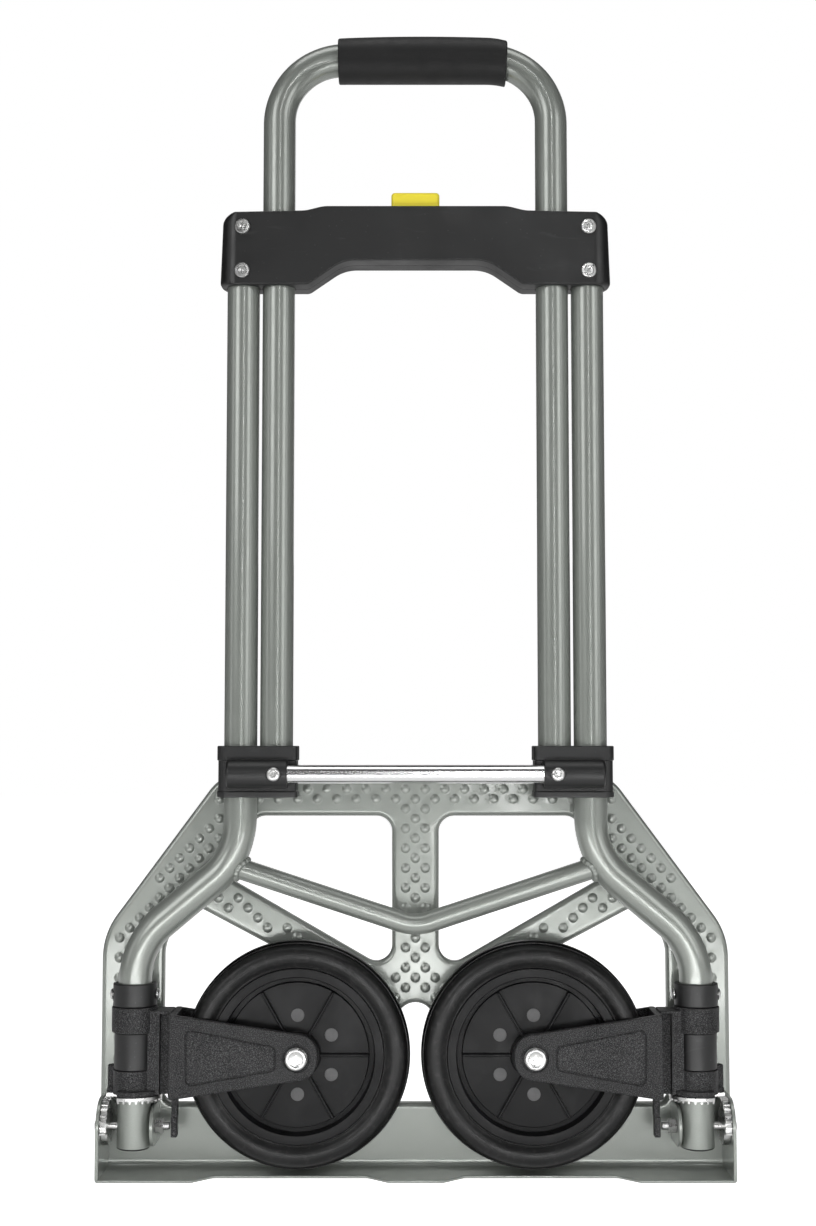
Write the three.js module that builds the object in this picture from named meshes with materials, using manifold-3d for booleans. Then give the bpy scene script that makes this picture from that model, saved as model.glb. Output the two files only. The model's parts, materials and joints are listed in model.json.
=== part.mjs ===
// A folding hand truck, folded flat and standing on the bottom flange of its toe plate.
//
// Millimetres, +Z up. +X is the truck's right seen from behind, +Y points towards the load.
// The tubes of the frame and of the handle lie in the plane y = 0.
// Heights are measured from the toe plate's hinge axis, and the whole group is lifted at the end.

import * as THREE from 'three';
import { mergeVertices } from 'three/addons/utils/BufferGeometryUtils.js';
import Module from 'manifold-3d';

const wasm = await Module();
wasm.setup();

// ---------------------------------------------------------------- driving dimensions

const GAP = 0.3;                     // clearance between pieces that touch
const HINGE_HEIGHT = 37;             // toe plate hinge axis above the ground
const SHEET = 2;                     // toe plate sheet thickness
const RIVET_HOLE = 2.7;              // radius of the rivet holes along y
const BEYOND = 40;                   // a depth past every piece, for tools that cut right through along y

const TUBE = { radius: 12.5, wall: 1.5, sides: 14, boreSides: 8 };
const FRAME = {
  topX: 132.4, footX: 210.3,         // tube axes above and below the S bend
  top: 686, upperBend: 199.4, lowerBend: 133.9, bottom: -15,
  bendRadius: 58,
};
const CROSS = { radius: 8, wall: 1.5, sides: 10, apex: 147, slope: 0.327, bendRadius: 35, endX: 144 };
const HANDLE = { x: 105.3, top: 815.5, bottom: 247, bendRadius: 50 };
const GRIP = { radius: 18, left: -59.8, right: 70.8 };

const HEAD = {
  bottom: 634, endTop: 690.5, shoulderTop: 691.8, centreTop: 695.2, archTop: 652.7,
  topHalfWidth: 148.3, bottomHalfWidth: 150.5, halfDepth: 16,
  rivetHeights: [644.7, 678.9], floor: 655.5, ceiling: 691.5, pocketHalfWidth: 23,
};
const BUTTON = { halfWidth: 18.5, halfDepth: 11, top: 707.7, travel: 6, stemBottom: 668 };
const LOCK = { height: 676, pegX: 13, halfThickness: 1.5, halfHeight: 3, pegRadius: 1.5 };
const SPRING = { bottom: 655.8, top: 667.7, radius: 5, wire: 0.8, turns: 3 };

const SLIDER = { bottom: 244, top: 282.5, inner: 88.5, outer: 149, front: -17, back: 16 };
const ROD = { radius: 7, wall: 1.5, y: -21, z: 261.5, halfLength: 115 };
const BOSS = { radius: 10.5, inner: 95.5, outer: 141, counterbore: -31, counterboreRadius: 5.3 };
const HEAD_RIVET = { shank: 2.4, head: 5.9, dome: 1.8 };
const COLLAR_RIVET = { shank: 2.2, head: 4.2, dome: 1.8, hole: 2.5 };
const SLIDER_RIVET = { shank: 2.4, head: 5, face: -33, tail: 4.6, tailHeight: 2.2 };

const PIVOT = {                      // the stack of rings on each lower tube, from the bottom up
  bore: TUBE.radius + 0.5, sleeveRadius: 15.2, collarRadius: 16.5,
  toothTip: 19.5, ringBottom: 21.2, ringTop: 23.8,
  lowerKnuckle: [24.1, 42.1], sleeve: [42.4, 69.2], upperKnuckle: [69.5, 88.4], collar: [88.7, 105.5],
  rivetHeight: 97,
};
const GEAR = { teeth: 28, crownRadius: 21, toothInner: 16.5, root: 18.8, tip: 20.8, toothWidth: 1.4 };
const CROWN_ARC = { first: -14, last: 2 };      // teeth from inboard, round the back, to past outboard
const SECTOR = { inner: 17.5, outer: 22.4, hubRadius: 14, firstTooth: -1, lastTooth: 7 };
const ARM = {
  rootInner: 16, rootOuter: 34, forkStart: 28, halfDepth: 23, plate: 4.5,
  rootBottom: 24.1, rootTop: 85, cheekBottom: 22.5,
  tipBottom: 38.9, tipTop: 68.6, tipReach: 15.5, tipRadius: 14.5, bossRadius: 13, bossInner: 14,
  lowerRadius: 15.7, upperRadius: 17, gearSeatRadius: 20.5, gearSeatHeight: 4,
};
const LUG = { inner: 28, outer: 33, halfWidth: 4, bottom: -8 };

const WHEEL = {
  x: 88, z: 53, radius: 84, tyreHalfWidth: 16, tyreInner: 65,
  ringInner: 55.5, ringHalfWidth: 14, webHalf: 2.5, hubRadius: 17, hubHalf: 13.4, ribs: 6, sides: 28,
};
const ARM_LENGTH = FRAME.footX - WHEEL.x;
const AXLE = {
  radius: 4, bushRadius: 7, headRadius: 8, headHeight: 4.5,
  washer: 1.2, washerRadius: 9, nutHeight: 6, nutRadius: 7.5, nutSeat: 7.9,
};
const HINGE_BOLT = { radius: 3, headRadius: 5.6, headHeight: 3.9, nutRadius: 5.8, inboardEnd: 27 };

const PLATE = {
  halfWidth: 240, face: 25, rimDepth: 33, top: 262, bottom: -HINGE_HEIGHT,
  panelTop: 11.5, railInner: 192, bandBottom: 228.6, postHalf: 18,
  flangeBack: -21, flangeRelief: -7,
};
const EAR = { outer: [22.7, 25.2], inner: [-16, -13.5], outerRadius: 21.5, innerRadius: 15 };

// ---------------------------------------------------------------- colours

const FINISHES = {
  paint: { color: 0x8f9691, roughness: 0.42, metalness: 0.45 },
  plastic: { color: 0x17181a, roughness: 0.62, metalness: 0 },
  foam: { color: 0x121212, roughness: 0.9, metalness: 0 },
  rubber: { color: 0x161617, roughness: 0.8, metalness: 0 },
  zinc: { color: 0xb9bbbd, roughness: 0.32, metalness: 0.9 },
  steel: { color: 0xd2d4d6, roughness: 0.2, metalness: 1 },
  yellow: { color: 0xf1d21c, roughness: 0.45, metalness: 0 },
};

// ---------------------------------------------------------------- solids and meshes

/** A solid from a closed three.js geometry. */
function solidOf(geometry) {
  const bare = geometry.clone();
  bare.deleteAttribute('normal');
  bare.deleteAttribute('uv');
  const merged = mergeVertices(bare, 1e-4);
  return new wasm.Manifold(new wasm.Mesh({
    numProp: 3,
    vertProperties: new Float32Array(merged.attributes.position.array),
    triVerts: new Uint32Array(merged.index.array),
  }));
}

/** The three.js geometry of a solid, mirrored across x = 0 when asked. */
function geometryOf(solid, mirrored = false) {
  const { vertProperties, triVerts } = solid.getMesh();
  const geometry = new THREE.BufferGeometry();
  geometry.setAttribute('position', new THREE.BufferAttribute(new Float32Array(vertProperties), 3));
  const index = Array.from(triVerts);
  if (mirrored) {
    geometry.scale(-1, 1, 1);
    index.reverse();
  }
  geometry.setIndex(index);
  geometry.computeVertexNormals();
  return geometry;
}

const cut = (solid, ...tools) => tools.reduce((rest, tool) => rest.subtract(tool), solid);
const join = (...solids) => solids.reduce((sum, solid) => sum.add(solid));

/** Adds one named piece to a group. */
function add(group, name, finish, solid, mirrored = false) {
  const material = new THREE.MeshStandardMaterial({ ...FINISHES[finish], flatShading: true });
  const mesh = new THREE.Mesh(geometryOf(solid, mirrored), material);
  mesh.name = name;
  group.add(mesh);
}

/** Adds a right-hand piece and its mirror image. */
function addPair(groups, name, finish, solid) {
  add(groups.right, `${name}_right`, finish, solid);
  add(groups.left, `${name}_left`, finish, solid, true);
}

/** Turns (shape x, shape y, extrusion) into space for a prism along each axis. */
const PRISM_AXES = {
  x: [[0, 1, 0], [0, 0, 1], [1, 0, 0]],
  y: [[1, 0, 0], [0, 0, 1], [0, -1, 0]],
  z: [[1, 0, 0], [0, 1, 0], [0, 0, 1]],
};

/** An outline of points, with optional holes, extruded along an axis from one coordinate to another. */
function prism(axis, outline, from, to, holes = []) {
  const shape = new THREE.Shape(outline);
  shape.holes = holes.map((hole) => new THREE.Path(hole));
  const geometry = new THREE.ExtrudeGeometry(shape, { depth: to - from, bevelEnabled: false });
  const basis = PRISM_AXES[axis].map((column) => new THREE.Vector3(...column));
  geometry.applyMatrix4(new THREE.Matrix4().makeBasis(...basis));
  const start = axis === 'y' ? to : from;
  geometry.translate(...['x', 'y', 'z'].map((name) => (name === axis ? start : 0)));
  return solidOf(geometry);
}

const block = (x, y, z) => solidOf(
  new THREE.BoxGeometry(x[1] - x[0], y[1] - y[0], z[1] - z[0])
    .translate((x[0] + x[1]) / 2, (y[0] + y[1]) / 2, (z[0] + z[1]) / 2),
);

/** Points of a circle or regular polygon about (u, v). */
function ring(radius, sides, u = 0, v = 0, phase = 0) {
  return Array.from({ length: sides }, (_, i) => {
    const angle = phase + (i / sides) * Math.PI * 2;
    return new THREE.Vector2(u + radius * Math.cos(angle), v + radius * Math.sin(angle));
  });
}

const rod = (axis, radius, from, to, u = 0, v = 0, sides = 14) => (
  prism(axis, ring(radius, sides, u, v), from, to)
);
const pipe = (axis, radius, bore, from, to, u = 0, v = 0, sides = 18) => (
  prism(axis, ring(radius, sides, u, v), from, to, [ring(bore, sides, u, v)])
);

/** A turned body: [radius, position] pairs from the axis and back to it, about the y axis. */
function turned(profile, sides = 16) {
  const points = profile.map(([radius, along]) => new THREE.Vector2(radius, along));
  return solidOf(new THREE.LatheGeometry(points, sides));
}

/**
 * Closed outline through corners [u, v, radius], counter-clockwise, as points.
 * Every edge moves inwards by inset, and each rounded corner keeps its centre.
 */
function roundedLoop(corners, inset = 0, arcSteps = 3) {
  const vertices = corners.map(([u, v]) => new THREE.Vector2(u, v));
  const count = vertices.length;
  const directions = vertices.map((vertex, i) => vertices[(i + 1) % count].clone().sub(vertex).normalize());
  const points = [];
  corners.forEach(([, , radius = 0], i) => {
    const before = directions[(i + count - 1) % count];
    const after = directions[i];
    const turn = Math.atan2(before.cross(after), before.dot(after));
    const bend = Math.sign(turn);
    const halfTangent = Math.tan(turn / 2);
    const corner = vertices[i].clone()
      .addScaledVector(before, -inset * halfTangent)
      .add(new THREE.Vector2(-before.y, before.x).multiplyScalar(inset));
    const newRadius = Math.max(radius - bend * inset, 0);
    if (radius === 0 || newRadius === 0) {
      points.push(corner);
      return;
    }
    const start = corner.clone().addScaledVector(before, -newRadius * Math.abs(halfTangent));
    const centre = start.clone().add(
      new THREE.Vector2(-before.y, before.x).multiplyScalar(bend * newRadius),
    );
    for (let step = 0; step <= arcSteps; step += 1) {
      points.push(start.clone().rotateAround(centre, (turn * step) / arcSteps));
    }
  });
  return points;
}

/** Right half corners from bottom centre to top centre, completed by their mirror image. */
const mirroredCorners = (half) => [
  ...half,
  ...half.filter(([u]) => u !== 0).map(([u, v, radius]) => [-u, v, radius]).reverse(),
];

// ---------------------------------------------------------------- bent tubes

/** A centre line given by stations, so that a sweep spends its steps only where it bends. */
class StationPath extends THREE.Curve {
  constructor(stations) {
    super();
    this.stations = stations;
  }

  station(u) {
    return this.stations[Math.round(u * (this.stations.length - 1))];
  }

  getPointAt(u) {
    return this.station(u).point.clone();
  }

  getTangentAt(u) {
    return this.station(u).tangent.clone();
  }

  getSpacedPoints() {
    return this.stations.map(({ point }) => point.clone());
  }
}

/** Stations of a bar in the plane y = 0 through [x, z] corners, bent to one radius at each of them. */
function bentPath(corners, radius, stepsPerBend = 4) {
  const flat = corners.map(([x, z]) => new THREE.Vector2(x, z));
  const stations = [];
  const push = (point, direction) => stations.push({
    point: new THREE.Vector3(point.x, 0, point.y),
    tangent: new THREE.Vector3(direction.x, 0, direction.y),
  });
  const directions = flat.slice(1).map((end, i) => end.clone().sub(flat[i]).normalize());
  push(flat[0], directions[0]);
  for (let i = 1; i < flat.length - 1; i += 1) {
    const [before, after] = [directions[i - 1], directions[i]];
    const turn = Math.atan2(before.cross(after), before.dot(after));
    const start = flat[i].clone().addScaledVector(before, -radius * Math.tan(Math.abs(turn) / 2));
    const side = new THREE.Vector2(-before.y, before.x).multiplyScalar(Math.sign(turn) * radius);
    const centre = start.clone().add(side);
    for (let step = 0; step <= stepsPerBend; step += 1) {
      const angle = (turn * step) / stepsPerBend;
      const direction = before.clone().rotateAround(new THREE.Vector2(), angle);
      push(start.clone().rotateAround(centre, angle), direction);
    }
  }
  push(flat[flat.length - 1], directions[directions.length - 1]);
  return new StationPath(stations);
}

/** A round section, solid or hollow, swept along stations. */
function sweep(path, radius, sides, bore = 0) {
  const shape = new THREE.Shape(ring(radius, sides));
  if (bore > 0) shape.holes = [new THREE.Path(ring(bore, TUBE.boreSides))];
  const steps = path.stations.length - 1;
  return solidOf(new THREE.ExtrudeGeometry(shape, { steps, extrudePath: path }));
}

// ---------------------------------------------------------------- frame

const framePath = bentPath([
  [FRAME.topX, FRAME.top], [FRAME.topX, FRAME.upperBend],
  [FRAME.footX, FRAME.lowerBend], [FRAME.footX, FRAME.bottom],
], FRAME.bendRadius);

function frameTube() {
  const { radius, wall, sides } = TUBE;
  const rivetHoles = HEAD.rivetHeights.map((z) => (
    rod('y', RIVET_HOLE, -BEYOND, BEYOND, FRAME.topX, z, 8)
  ));
  const reach = [FRAME.footX - radius * 2, FRAME.footX + radius * 2];
  return cut(
    sweep(framePath, radius, sides, radius - wall),
    ...rivetHoles,
    rod('x', COLLAR_RIVET.hole, ...reach, 0, PIVOT.rivetHeight, 8),
    rod('x', HINGE_BOLT.radius + GAP, ...reach, 0, 0, 8),
  );
}

function crossTube() {
  const end = [CROSS.endX, CROSS.apex + CROSS.slope * CROSS.endX];
  const path = bentPath([[-end[0], end[1]], [0, CROSS.apex], end], CROSS.bendRadius);
  const frameSpace = sweep(framePath, TUBE.radius + GAP, TUBE.sides);
  const otherSpace = solidOf(geometryOf(frameSpace, true));
  return cut(sweep(path, CROSS.radius, CROSS.sides, CROSS.radius - CROSS.wall), frameSpace, otherSpace);
}

/** Bolt or rivet along y with a domed head at each end: shank radius, head radius, dome height. */
function doubleRivet(shank, head, dome, from, to) {
  return turned([
    [0, from - dome], [head * 0.6, from - dome], [head, from], [shank, from],
    [shank, to], [head, to], [head * 0.6, to + dome], [0, to + dome],
  ], 10);
}

const headOutline = roundedLoop(mirroredCorners([
  [0, HEAD.archTop], [55, HEAD.archTop, 30], [82, HEAD.bottom, 8], [HEAD.bottomHalfWidth, HEAD.bottom, 4],
  [HEAD.topHalfWidth, HEAD.endTop, 8], [84, HEAD.shoulderTop, 30], [70.5, HEAD.centreTop, 30],
  [0, HEAD.centreTop],
]));

/** Everything the head casing makes room for: tubes, rivets, the button and the lock bars. */
function headSpaces() {
  const { halfThickness, halfHeight, height } = LOCK;
  const pocket = [-HEAD.pocketHalfWidth, HEAD.pocketHalfWidth];
  const depth = [-HEAD.halfDepth + 2.5, HEAD.halfDepth - 2.5];
  const mouth = [BUTTON.halfWidth + 0.4, BUTTON.halfDepth + 0.4];
  const sides = [-1, 1].flatMap((side) => [
    rod('z', PIVOT.bore, 0, FRAME.top + GAP, side * FRAME.topX, 0, TUBE.sides),
    rod('z', PIVOT.bore, 0, HANDLE.top, side * HANDLE.x, 0, TUBE.sides),
    ...HEAD.rivetHeights.map((z) => rod('y', RIVET_HOLE, -BEYOND, BEYOND, side * FRAME.topX, z, 8)),
  ]);
  return [
    ...sides,
    block(pocket, depth, [HEAD.floor, HEAD.ceiling]),
    block([-mouth[0], mouth[0]], [-mouth[1], mouth[1]], [HEAD.ceiling - 1, HEAD.centreTop + 1]),
    block([-HANDLE.x, HANDLE.x], [-halfThickness - 0.5, halfThickness + 0.5],
      [height - halfHeight - 0.5, height + halfHeight + 0.5]),
  ];
}

const headShell = (from, to) => cut(prism('y', headOutline, from, to), ...headSpaces());

function endCap() {
  const { bottom } = FRAME;
  return join(
    rod('z', TUBE.radius, bottom - 2, bottom - GAP),
    rod('z', TUBE.radius - TUBE.wall - 1.3, bottom - 1, bottom + 7, 0, 0, 8),
  );
}

// ---------------------------------------------------------------- handle

const handlePath = bentPath([
  [-HANDLE.x, HANDLE.bottom], [-HANDLE.x, HANDLE.top], [HANDLE.x, HANDLE.top], [HANDLE.x, HANDLE.bottom],
], HANDLE.bendRadius, 6);

function handleTube() {
  const rivetHoles = [-HANDLE.x, HANDLE.x].map((x) => rod('y', RIVET_HOLE, -BEYOND, BEYOND, x, ROD.z, 8));
  return cut(sweep(handlePath, TUBE.radius, TUBE.sides, TUBE.radius - TUBE.wall), ...rivetHoles);
}

/** Straight foam sleeve. Its ends reach a little way over the bends, where its bore follows the tube. */
function grip() {
  const sleeve = rod('x', GRIP.radius, GRIP.left, GRIP.right, 0, HANDLE.top, 20);
  return cut(sleeve, sweep(handlePath, TUBE.radius + GAP, TUBE.sides));
}

function sliderBracket() {
  const { bottom, top, inner, outer, front, back } = SLIDER;
  const body = prism('z', roundedLoop([
    [inner, front, 3], [outer, front, 8], [outer, back, 8], [inner, back, 8],
  ], 0, 3), bottom, top);
  const boss = join(
    rod('x', BOSS.radius, BOSS.inner, BOSS.outer, ROD.y, ROD.z, 20),
    block([BOSS.inner, BOSS.outer], [ROD.y, front + 1], [ROD.z - BOSS.radius, ROD.z + BOSS.radius]),
  );
  return cut(
    join(body, boss),
    rod('z', PIVOT.bore + 0.1, bottom - 1, top + 1, FRAME.topX, 0, TUBE.sides),
    rod('z', PIVOT.bore, HANDLE.bottom - GAP, top + 1, HANDLE.x, 0, TUBE.sides),
    rod('x', ROD.radius + GAP, inner - 1, ROD.halfLength + GAP, ROD.y, ROD.z),
    rod('y', RIVET_HOLE, -BEYOND, BEYOND, HANDLE.x, ROD.z, 8),
    rod('y', BOSS.counterboreRadius, -BEYOND, BOSS.counterbore, HANDLE.x, ROD.z, 12),
  );
}

function crossRod() {
  const holes = [-HANDLE.x, HANDLE.x].map((x) => rod('y', RIVET_HOLE, -BEYOND, 0, x, ROD.z, 8));
  const { radius, wall, halfLength, y, z } = ROD;
  return cut(pipe('x', radius, radius - wall, -halfLength, halfLength, y, z, 16), ...holes);
}

function sliderRivet() {
  const { shank, head, face, tail, tailHeight } = SLIDER_RIVET;
  const [seat, back] = [BOSS.counterbore - GAP, SLIDER.back + GAP];
  return turned([
    [0, face], [head * 0.8, face + 0.3], [head, face + 1], [head, seat], [shank, seat],
    [shank, back], [tail, back], [tail * 0.9, back + tailHeight * 0.7], [0, back + tailHeight],
  ], 12);
}

// ---------------------------------------------------------------- release button and lock

/** Button cap, its retaining flange, and a slit stem whose two inclined slots draw the lock bars in. */
function releaseButton() {
  const { halfWidth, halfDepth, top, travel, stemBottom } = BUTTON;
  const { height, halfHeight, halfThickness, pegX, pegRadius } = LOCK;
  const flangeBottom = HEAD.ceiling - 3.8;
  const cap = prism('y', roundedLoop([
    [-halfWidth, flangeBottom], [halfWidth, flangeBottom], [halfWidth, top, 4], [-halfWidth, top, 4],
  ], 0, 3), -halfDepth, halfDepth);
  const flange = block([-21.5, 21.5], [-12.5, 12.5], [flangeBottom, HEAD.ceiling - 0.5]);
  const stem = block([-halfWidth, halfWidth], [-5, 5], [stemBottom, flangeBottom + 1]);
  const slit = block([-30, 30], [-halfThickness - 0.4, halfThickness + 0.4],
    [height - halfHeight - 0.4, height + halfHeight + travel + 0.4]);
  const slotHalf = pegRadius + 0.4;
  const along = new THREE.Vector2(-1, 1).normalize();
  const across = new THREE.Vector2(1, 1).normalize();
  const slotEnd = (x, z, end) => [-1, 1].map((side) => {
    const corner = new THREE.Vector2(x, z).addScaledVector(along, end * slotHalf)
      .addScaledVector(across, side * end * -slotHalf);
    return [corner.x, corner.y, slotHalf * 0.95];
  });
  const slot = prism('y', roundedLoop([
    ...slotEnd(pegX, height, -1), ...slotEnd(pegX - travel, height + travel, 1),
  ], 0, 3), -10, 10);
  const otherSlot = solidOf(geometryOf(slot, true));
  return cut(join(cap, flange, stem), slit, slot, otherSlot);
}

function lockBar() {
  const { height, pegX, halfThickness, halfHeight, pegRadius } = LOCK;
  const tip = HANDLE.x - TUBE.radius - 0.5;
  return join(
    block([pegX - 2.5, tip], [-halfThickness, halfThickness], [height - halfHeight, height + halfHeight]),
    rod('y', pegRadius, -4.6, 4.6, pegX, height, 8),
  );
}

function buttonSpring() {
  const { bottom, top, radius, wire, turns } = SPRING;
  const steps = turns * 10;
  const rise = top - bottom - 2 * wire;
  const stations = Array.from({ length: steps + 1 }, (_, i) => {
    const angle = (i / steps) * turns * Math.PI * 2;
    return {
      point: new THREE.Vector3(radius * Math.cos(angle), radius * Math.sin(angle),
        bottom + wire + (rise * i) / steps),
      tangent: new THREE.Vector3(-Math.sin(angle) * radius, Math.cos(angle) * radius,
        rise / (turns * Math.PI * 2)).normalize(),
    };
  });
  return sweep(new StationPath(stations), wire, 6);
}

// ---------------------------------------------------------------- pivots at the foot of each tube

/** Rivet through collar and tube along x, from a doubleRivet turned a quarter. */
function collarRivet() {
  const seat = PIVOT.collarRadius + GAP;
  const { shank, head, dome } = COLLAR_RIVET;
  const rivet = geometryOf(doubleRivet(shank, head, dome, -seat, seat));
  rivet.rotateZ(Math.PI / 2).translate(0, 0, PIVOT.rivetHeight);
  return solidOf(rivet);
}

function collar() {
  const body = pipe('z', PIVOT.collarRadius, PIVOT.bore, ...PIVOT.collar);
  return cut(body, rod('x', COLLAR_RIVET.hole, -BEYOND, BEYOND, 0, PIVOT.rivetHeight, 8));
}

function crownGear() {
  const { teeth, crownRadius, toothInner, toothWidth, tip } = GEAR;
  const half = toothWidth / 2 / tip;
  const pitch = (Math.PI * 2) / teeth;
  const blades = Array.from({ length: CROWN_ARC.last - CROWN_ARC.first + 1 }, (_, i) => {
    const corner = (radius, angle) => new THREE.Vector2(radius * Math.cos(angle), radius * Math.sin(angle));
    const at = (CROWN_ARC.first + i) * pitch;
    return prism('z', [
      corner(toothInner, at - half), corner(crownRadius, at - half),
      corner(crownRadius, at + half), corner(toothInner, at + half),
    ], PIVOT.toothTip, PIVOT.ringBottom + 0.5);
  });
  const body = pipe('z', crownRadius, PIVOT.bore, PIVOT.ringBottom, PIVOT.ringTop, 0, 0, teeth);
  return join(body, ...blades);
}

/** Flat gear beside the toe plate's outer ear: teeth only on the quarter that meets the crown gear. */
function sectorGear() {
  const { teeth, root, tip, toothWidth } = GEAR;
  const { hubRadius, firstTooth, lastTooth, inner, outer } = SECTOR;
  const pitch = (Math.PI * 2) / teeth;
  const half = toothWidth / 2 / tip;
  const polar = (radius, angle) => new THREE.Vector2(radius * Math.cos(angle), radius * Math.sin(angle));
  const top = Math.PI / 2;
  const points = [];
  for (let tooth = firstTooth; tooth <= lastTooth; tooth += 1) {
    const at = top + (tooth + 0.5) * pitch;
    points.push(polar(root, at - half * 1.5), polar(tip, at - half), polar(tip, at + half),
      polar(root, at + half * 1.5));
  }
  const start = top + (lastTooth + 1) * pitch;
  const end = top + firstTooth * pitch + Math.PI * 2;
  const arcSteps = 10;
  for (let step = 0; step <= arcSteps; step += 1) {
    points.push(polar(hubRadius, start + ((end - start) * step) / arcSteps));
  }
  return prism('x', points, inner, outer, [ring(HINGE_BOLT.radius + GAP, 8)]);
}

function hingeBolt() {
  const { radius, headRadius, headHeight, inboardEnd } = HINGE_BOLT;
  const seat = EAR.outer[1] + GAP;
  return join(
    rod('x', headRadius, seat, seat + headHeight, 0, 0, 6),
    rod('x', radius, -inboardEnd, seat + 0.5, 0, 0, 10),
  );
}

function hingeNut() {
  const seat = EAR.inner[0] - GAP;
  const { nutRadius, radius } = HINGE_BOLT;
  return prism('x', ring(nutRadius, 6), seat - 6, seat, [ring(radius + GAP, 12)]);
}

// ---------------------------------------------------------------- wheel arms

/** Forked arm: two knuckles on the tube, a root block, two tapering cheeks and a stop lug below. */
function wheelArm() {
  const { rootInner, rootOuter, forkStart, halfDepth, plate } = ARM;
  const { lowerKnuckle, upperKnuckle, bore } = PIVOT;
  const tip = ARM_LENGTH + ARM.tipReach;
  const cheekOutline = roundedLoop([
    [-tip, ARM.tipTop, ARM.tipRadius], [-tip, ARM.tipBottom, ARM.tipRadius],
    [-forkStart, ARM.cheekBottom], [-forkStart, ARM.rootTop],
  ], 0, 6);
  const cheeks = [-halfDepth, halfDepth - plate].map((y) => prism('y', cheekOutline, y, y + plate));
  const bosses = [[-halfDepth, -ARM.bossInner], [ARM.bossInner, halfDepth]].map(([from, to]) => (
    rod('y', ARM.bossRadius, from, to, -ARM_LENGTH, WHEEL.z)
  ));
  const root = block([-rootOuter, -rootInner], [-halfDepth, halfDepth], [ARM.rootBottom, ARM.rootTop]);
  const spans = [[lowerKnuckle, ARM.lowerRadius], [upperKnuckle, ARM.upperRadius]];
  const knuckles = spans.flatMap(([span, radius]) => [
    rod('z', radius, ...span, 0, 0, 18),
    block([-rootInner - 1, 0], [-radius, radius], span),
  ]);
  const gearSeat = rod(
    'z', ARM.gearSeatRadius, lowerKnuckle[0], lowerKnuckle[0] + ARM.gearSeatHeight, 0, 0, 18,
  );
  const lug = block(
    [-LUG.outer, -LUG.inner], [-LUG.halfWidth, LUG.halfWidth], [LUG.bottom, ARM.rootBottom + 1],
  );
  return cut(
    join(root, ...cheeks, ...bosses, ...knuckles, gearSeat, lug),
    rod('z', bore, 0, PIVOT.collar[1], 0, 0, 18),
    rod('z', PIVOT.sleeveRadius + 0.4, lowerKnuckle[1], upperKnuckle[0], 0, 0, 18),
    rod('y', AXLE.radius + GAP, -BEYOND, BEYOND, -ARM_LENGTH, WHEEL.z, 12),
    rod('y', AXLE.nutSeat, halfDepth - AXLE.nutHeight - GAP, BEYOND, -ARM_LENGTH, WHEEL.z, 16),
  );
}

function axleBolt() {
  const seat = -ARM.halfDepth - AXLE.washer - 2 * GAP;
  const { radius, headRadius, headHeight } = AXLE;
  return turned([
    [0, seat - headHeight], [headRadius * 0.8, seat - headHeight], [headRadius, seat - headHeight * 0.6],
    [headRadius, seat], [radius, seat], [radius, ARM.halfDepth - 0.5], [0, ARM.halfDepth - 0.5],
  ], 12);
}

const axleWasher = () => {
  const back = -ARM.halfDepth - GAP;
  return pipe('y', AXLE.washerRadius, AXLE.radius + GAP, back - AXLE.washer, back, 0, 0, 16);
};

const axleNut = () => {
  const bore = ring(AXLE.radius + GAP, 12);
  return prism('y', ring(AXLE.nutRadius, 6), ARM.halfDepth - AXLE.nutHeight, ARM.halfDepth, [bore]);
};

// ---------------------------------------------------------------- wheels

function tyre() {
  const { radius, tyreHalfWidth, tyreInner, sides } = WHEEL;
  const half = tyreHalfWidth;
  const profile = [
    [tyreInner, -half], [radius - 9, -half], [radius - 2.5, -half + 6], [radius, -half + 12],
    [radius, half - 12], [radius - 2.5, half - 6], [radius - 9, half], [tyreInner, half], [tyreInner, -half],
  ];
  return turned(profile, sides);
}

function wheelRim() {
  const { tyreInner, ringInner, ringHalfWidth, webHalf, hubRadius, hubHalf, ribs, sides } = WHEEL;
  const outer = tyreInner - GAP;
  const bore = AXLE.bushRadius + GAP;
  const body = turned([
    [bore, -hubHalf], [hubRadius, -hubHalf], [hubRadius, -webHalf], [ringInner, -webHalf],
    [ringInner, -ringHalfWidth], [outer, -ringHalfWidth], [outer, ringHalfWidth], [ringInner, ringHalfWidth],
    [ringInner, webHalf], [hubRadius, webHalf], [hubRadius, hubHalf], [bore, hubHalf], [bore, -hubHalf],
  ], sides);
  const ribSolids = Array.from({ length: ribs }, (_, i) => {
    const bar = new THREE.BoxGeometry(ringInner - hubRadius + 2, 20, 2.5);
    bar.translate((ringInner + hubRadius) / 2, 0, 0).rotateY((i / ribs) * Math.PI * 2);
    return solidOf(bar);
  });
  return join(body, ...ribSolids);
}

const axleBush = () => (
  pipe('y', AXLE.bushRadius, AXLE.radius + GAP, -WHEEL.hubHalf, WHEEL.hubHalf, 0, 0, 16)
);

// ---------------------------------------------------------------- toe plate

const plateCorners = mirroredCorners([
  [PLATE.halfWidth, PLATE.bottom], [PLATE.halfWidth, 138.5, 55], [148.6, PLATE.top, 34],
]);

/** Windows of the right half, counter-clockwise, bounded by the braces that stay between them. */
const upperWindow = [
  [PLATE.postHalf, 109.4, 12], [152.4, 186.3, 10], [121.1, PLATE.bandBottom, 12],
  [PLATE.postHalf, PLATE.bandBottom, 12],
];
const outerWindow = [
  [114.8, PLATE.panelTop, 8], [PLATE.railInner, PLATE.panelTop, 8], [PLATE.railInner, 132.9, 30],
  [171, 161.2, 8], [35.7, 90.2, 14],
];
const centreWindow = [[-80.8, PLATE.panelTop, 8], [80.8, PLATE.panelTop, 8], [0, 92.3, 14]];

const mirrorLoop = (corners) => corners.map(([u, v, radius]) => [-u, v, radius]).reverse();

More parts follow.
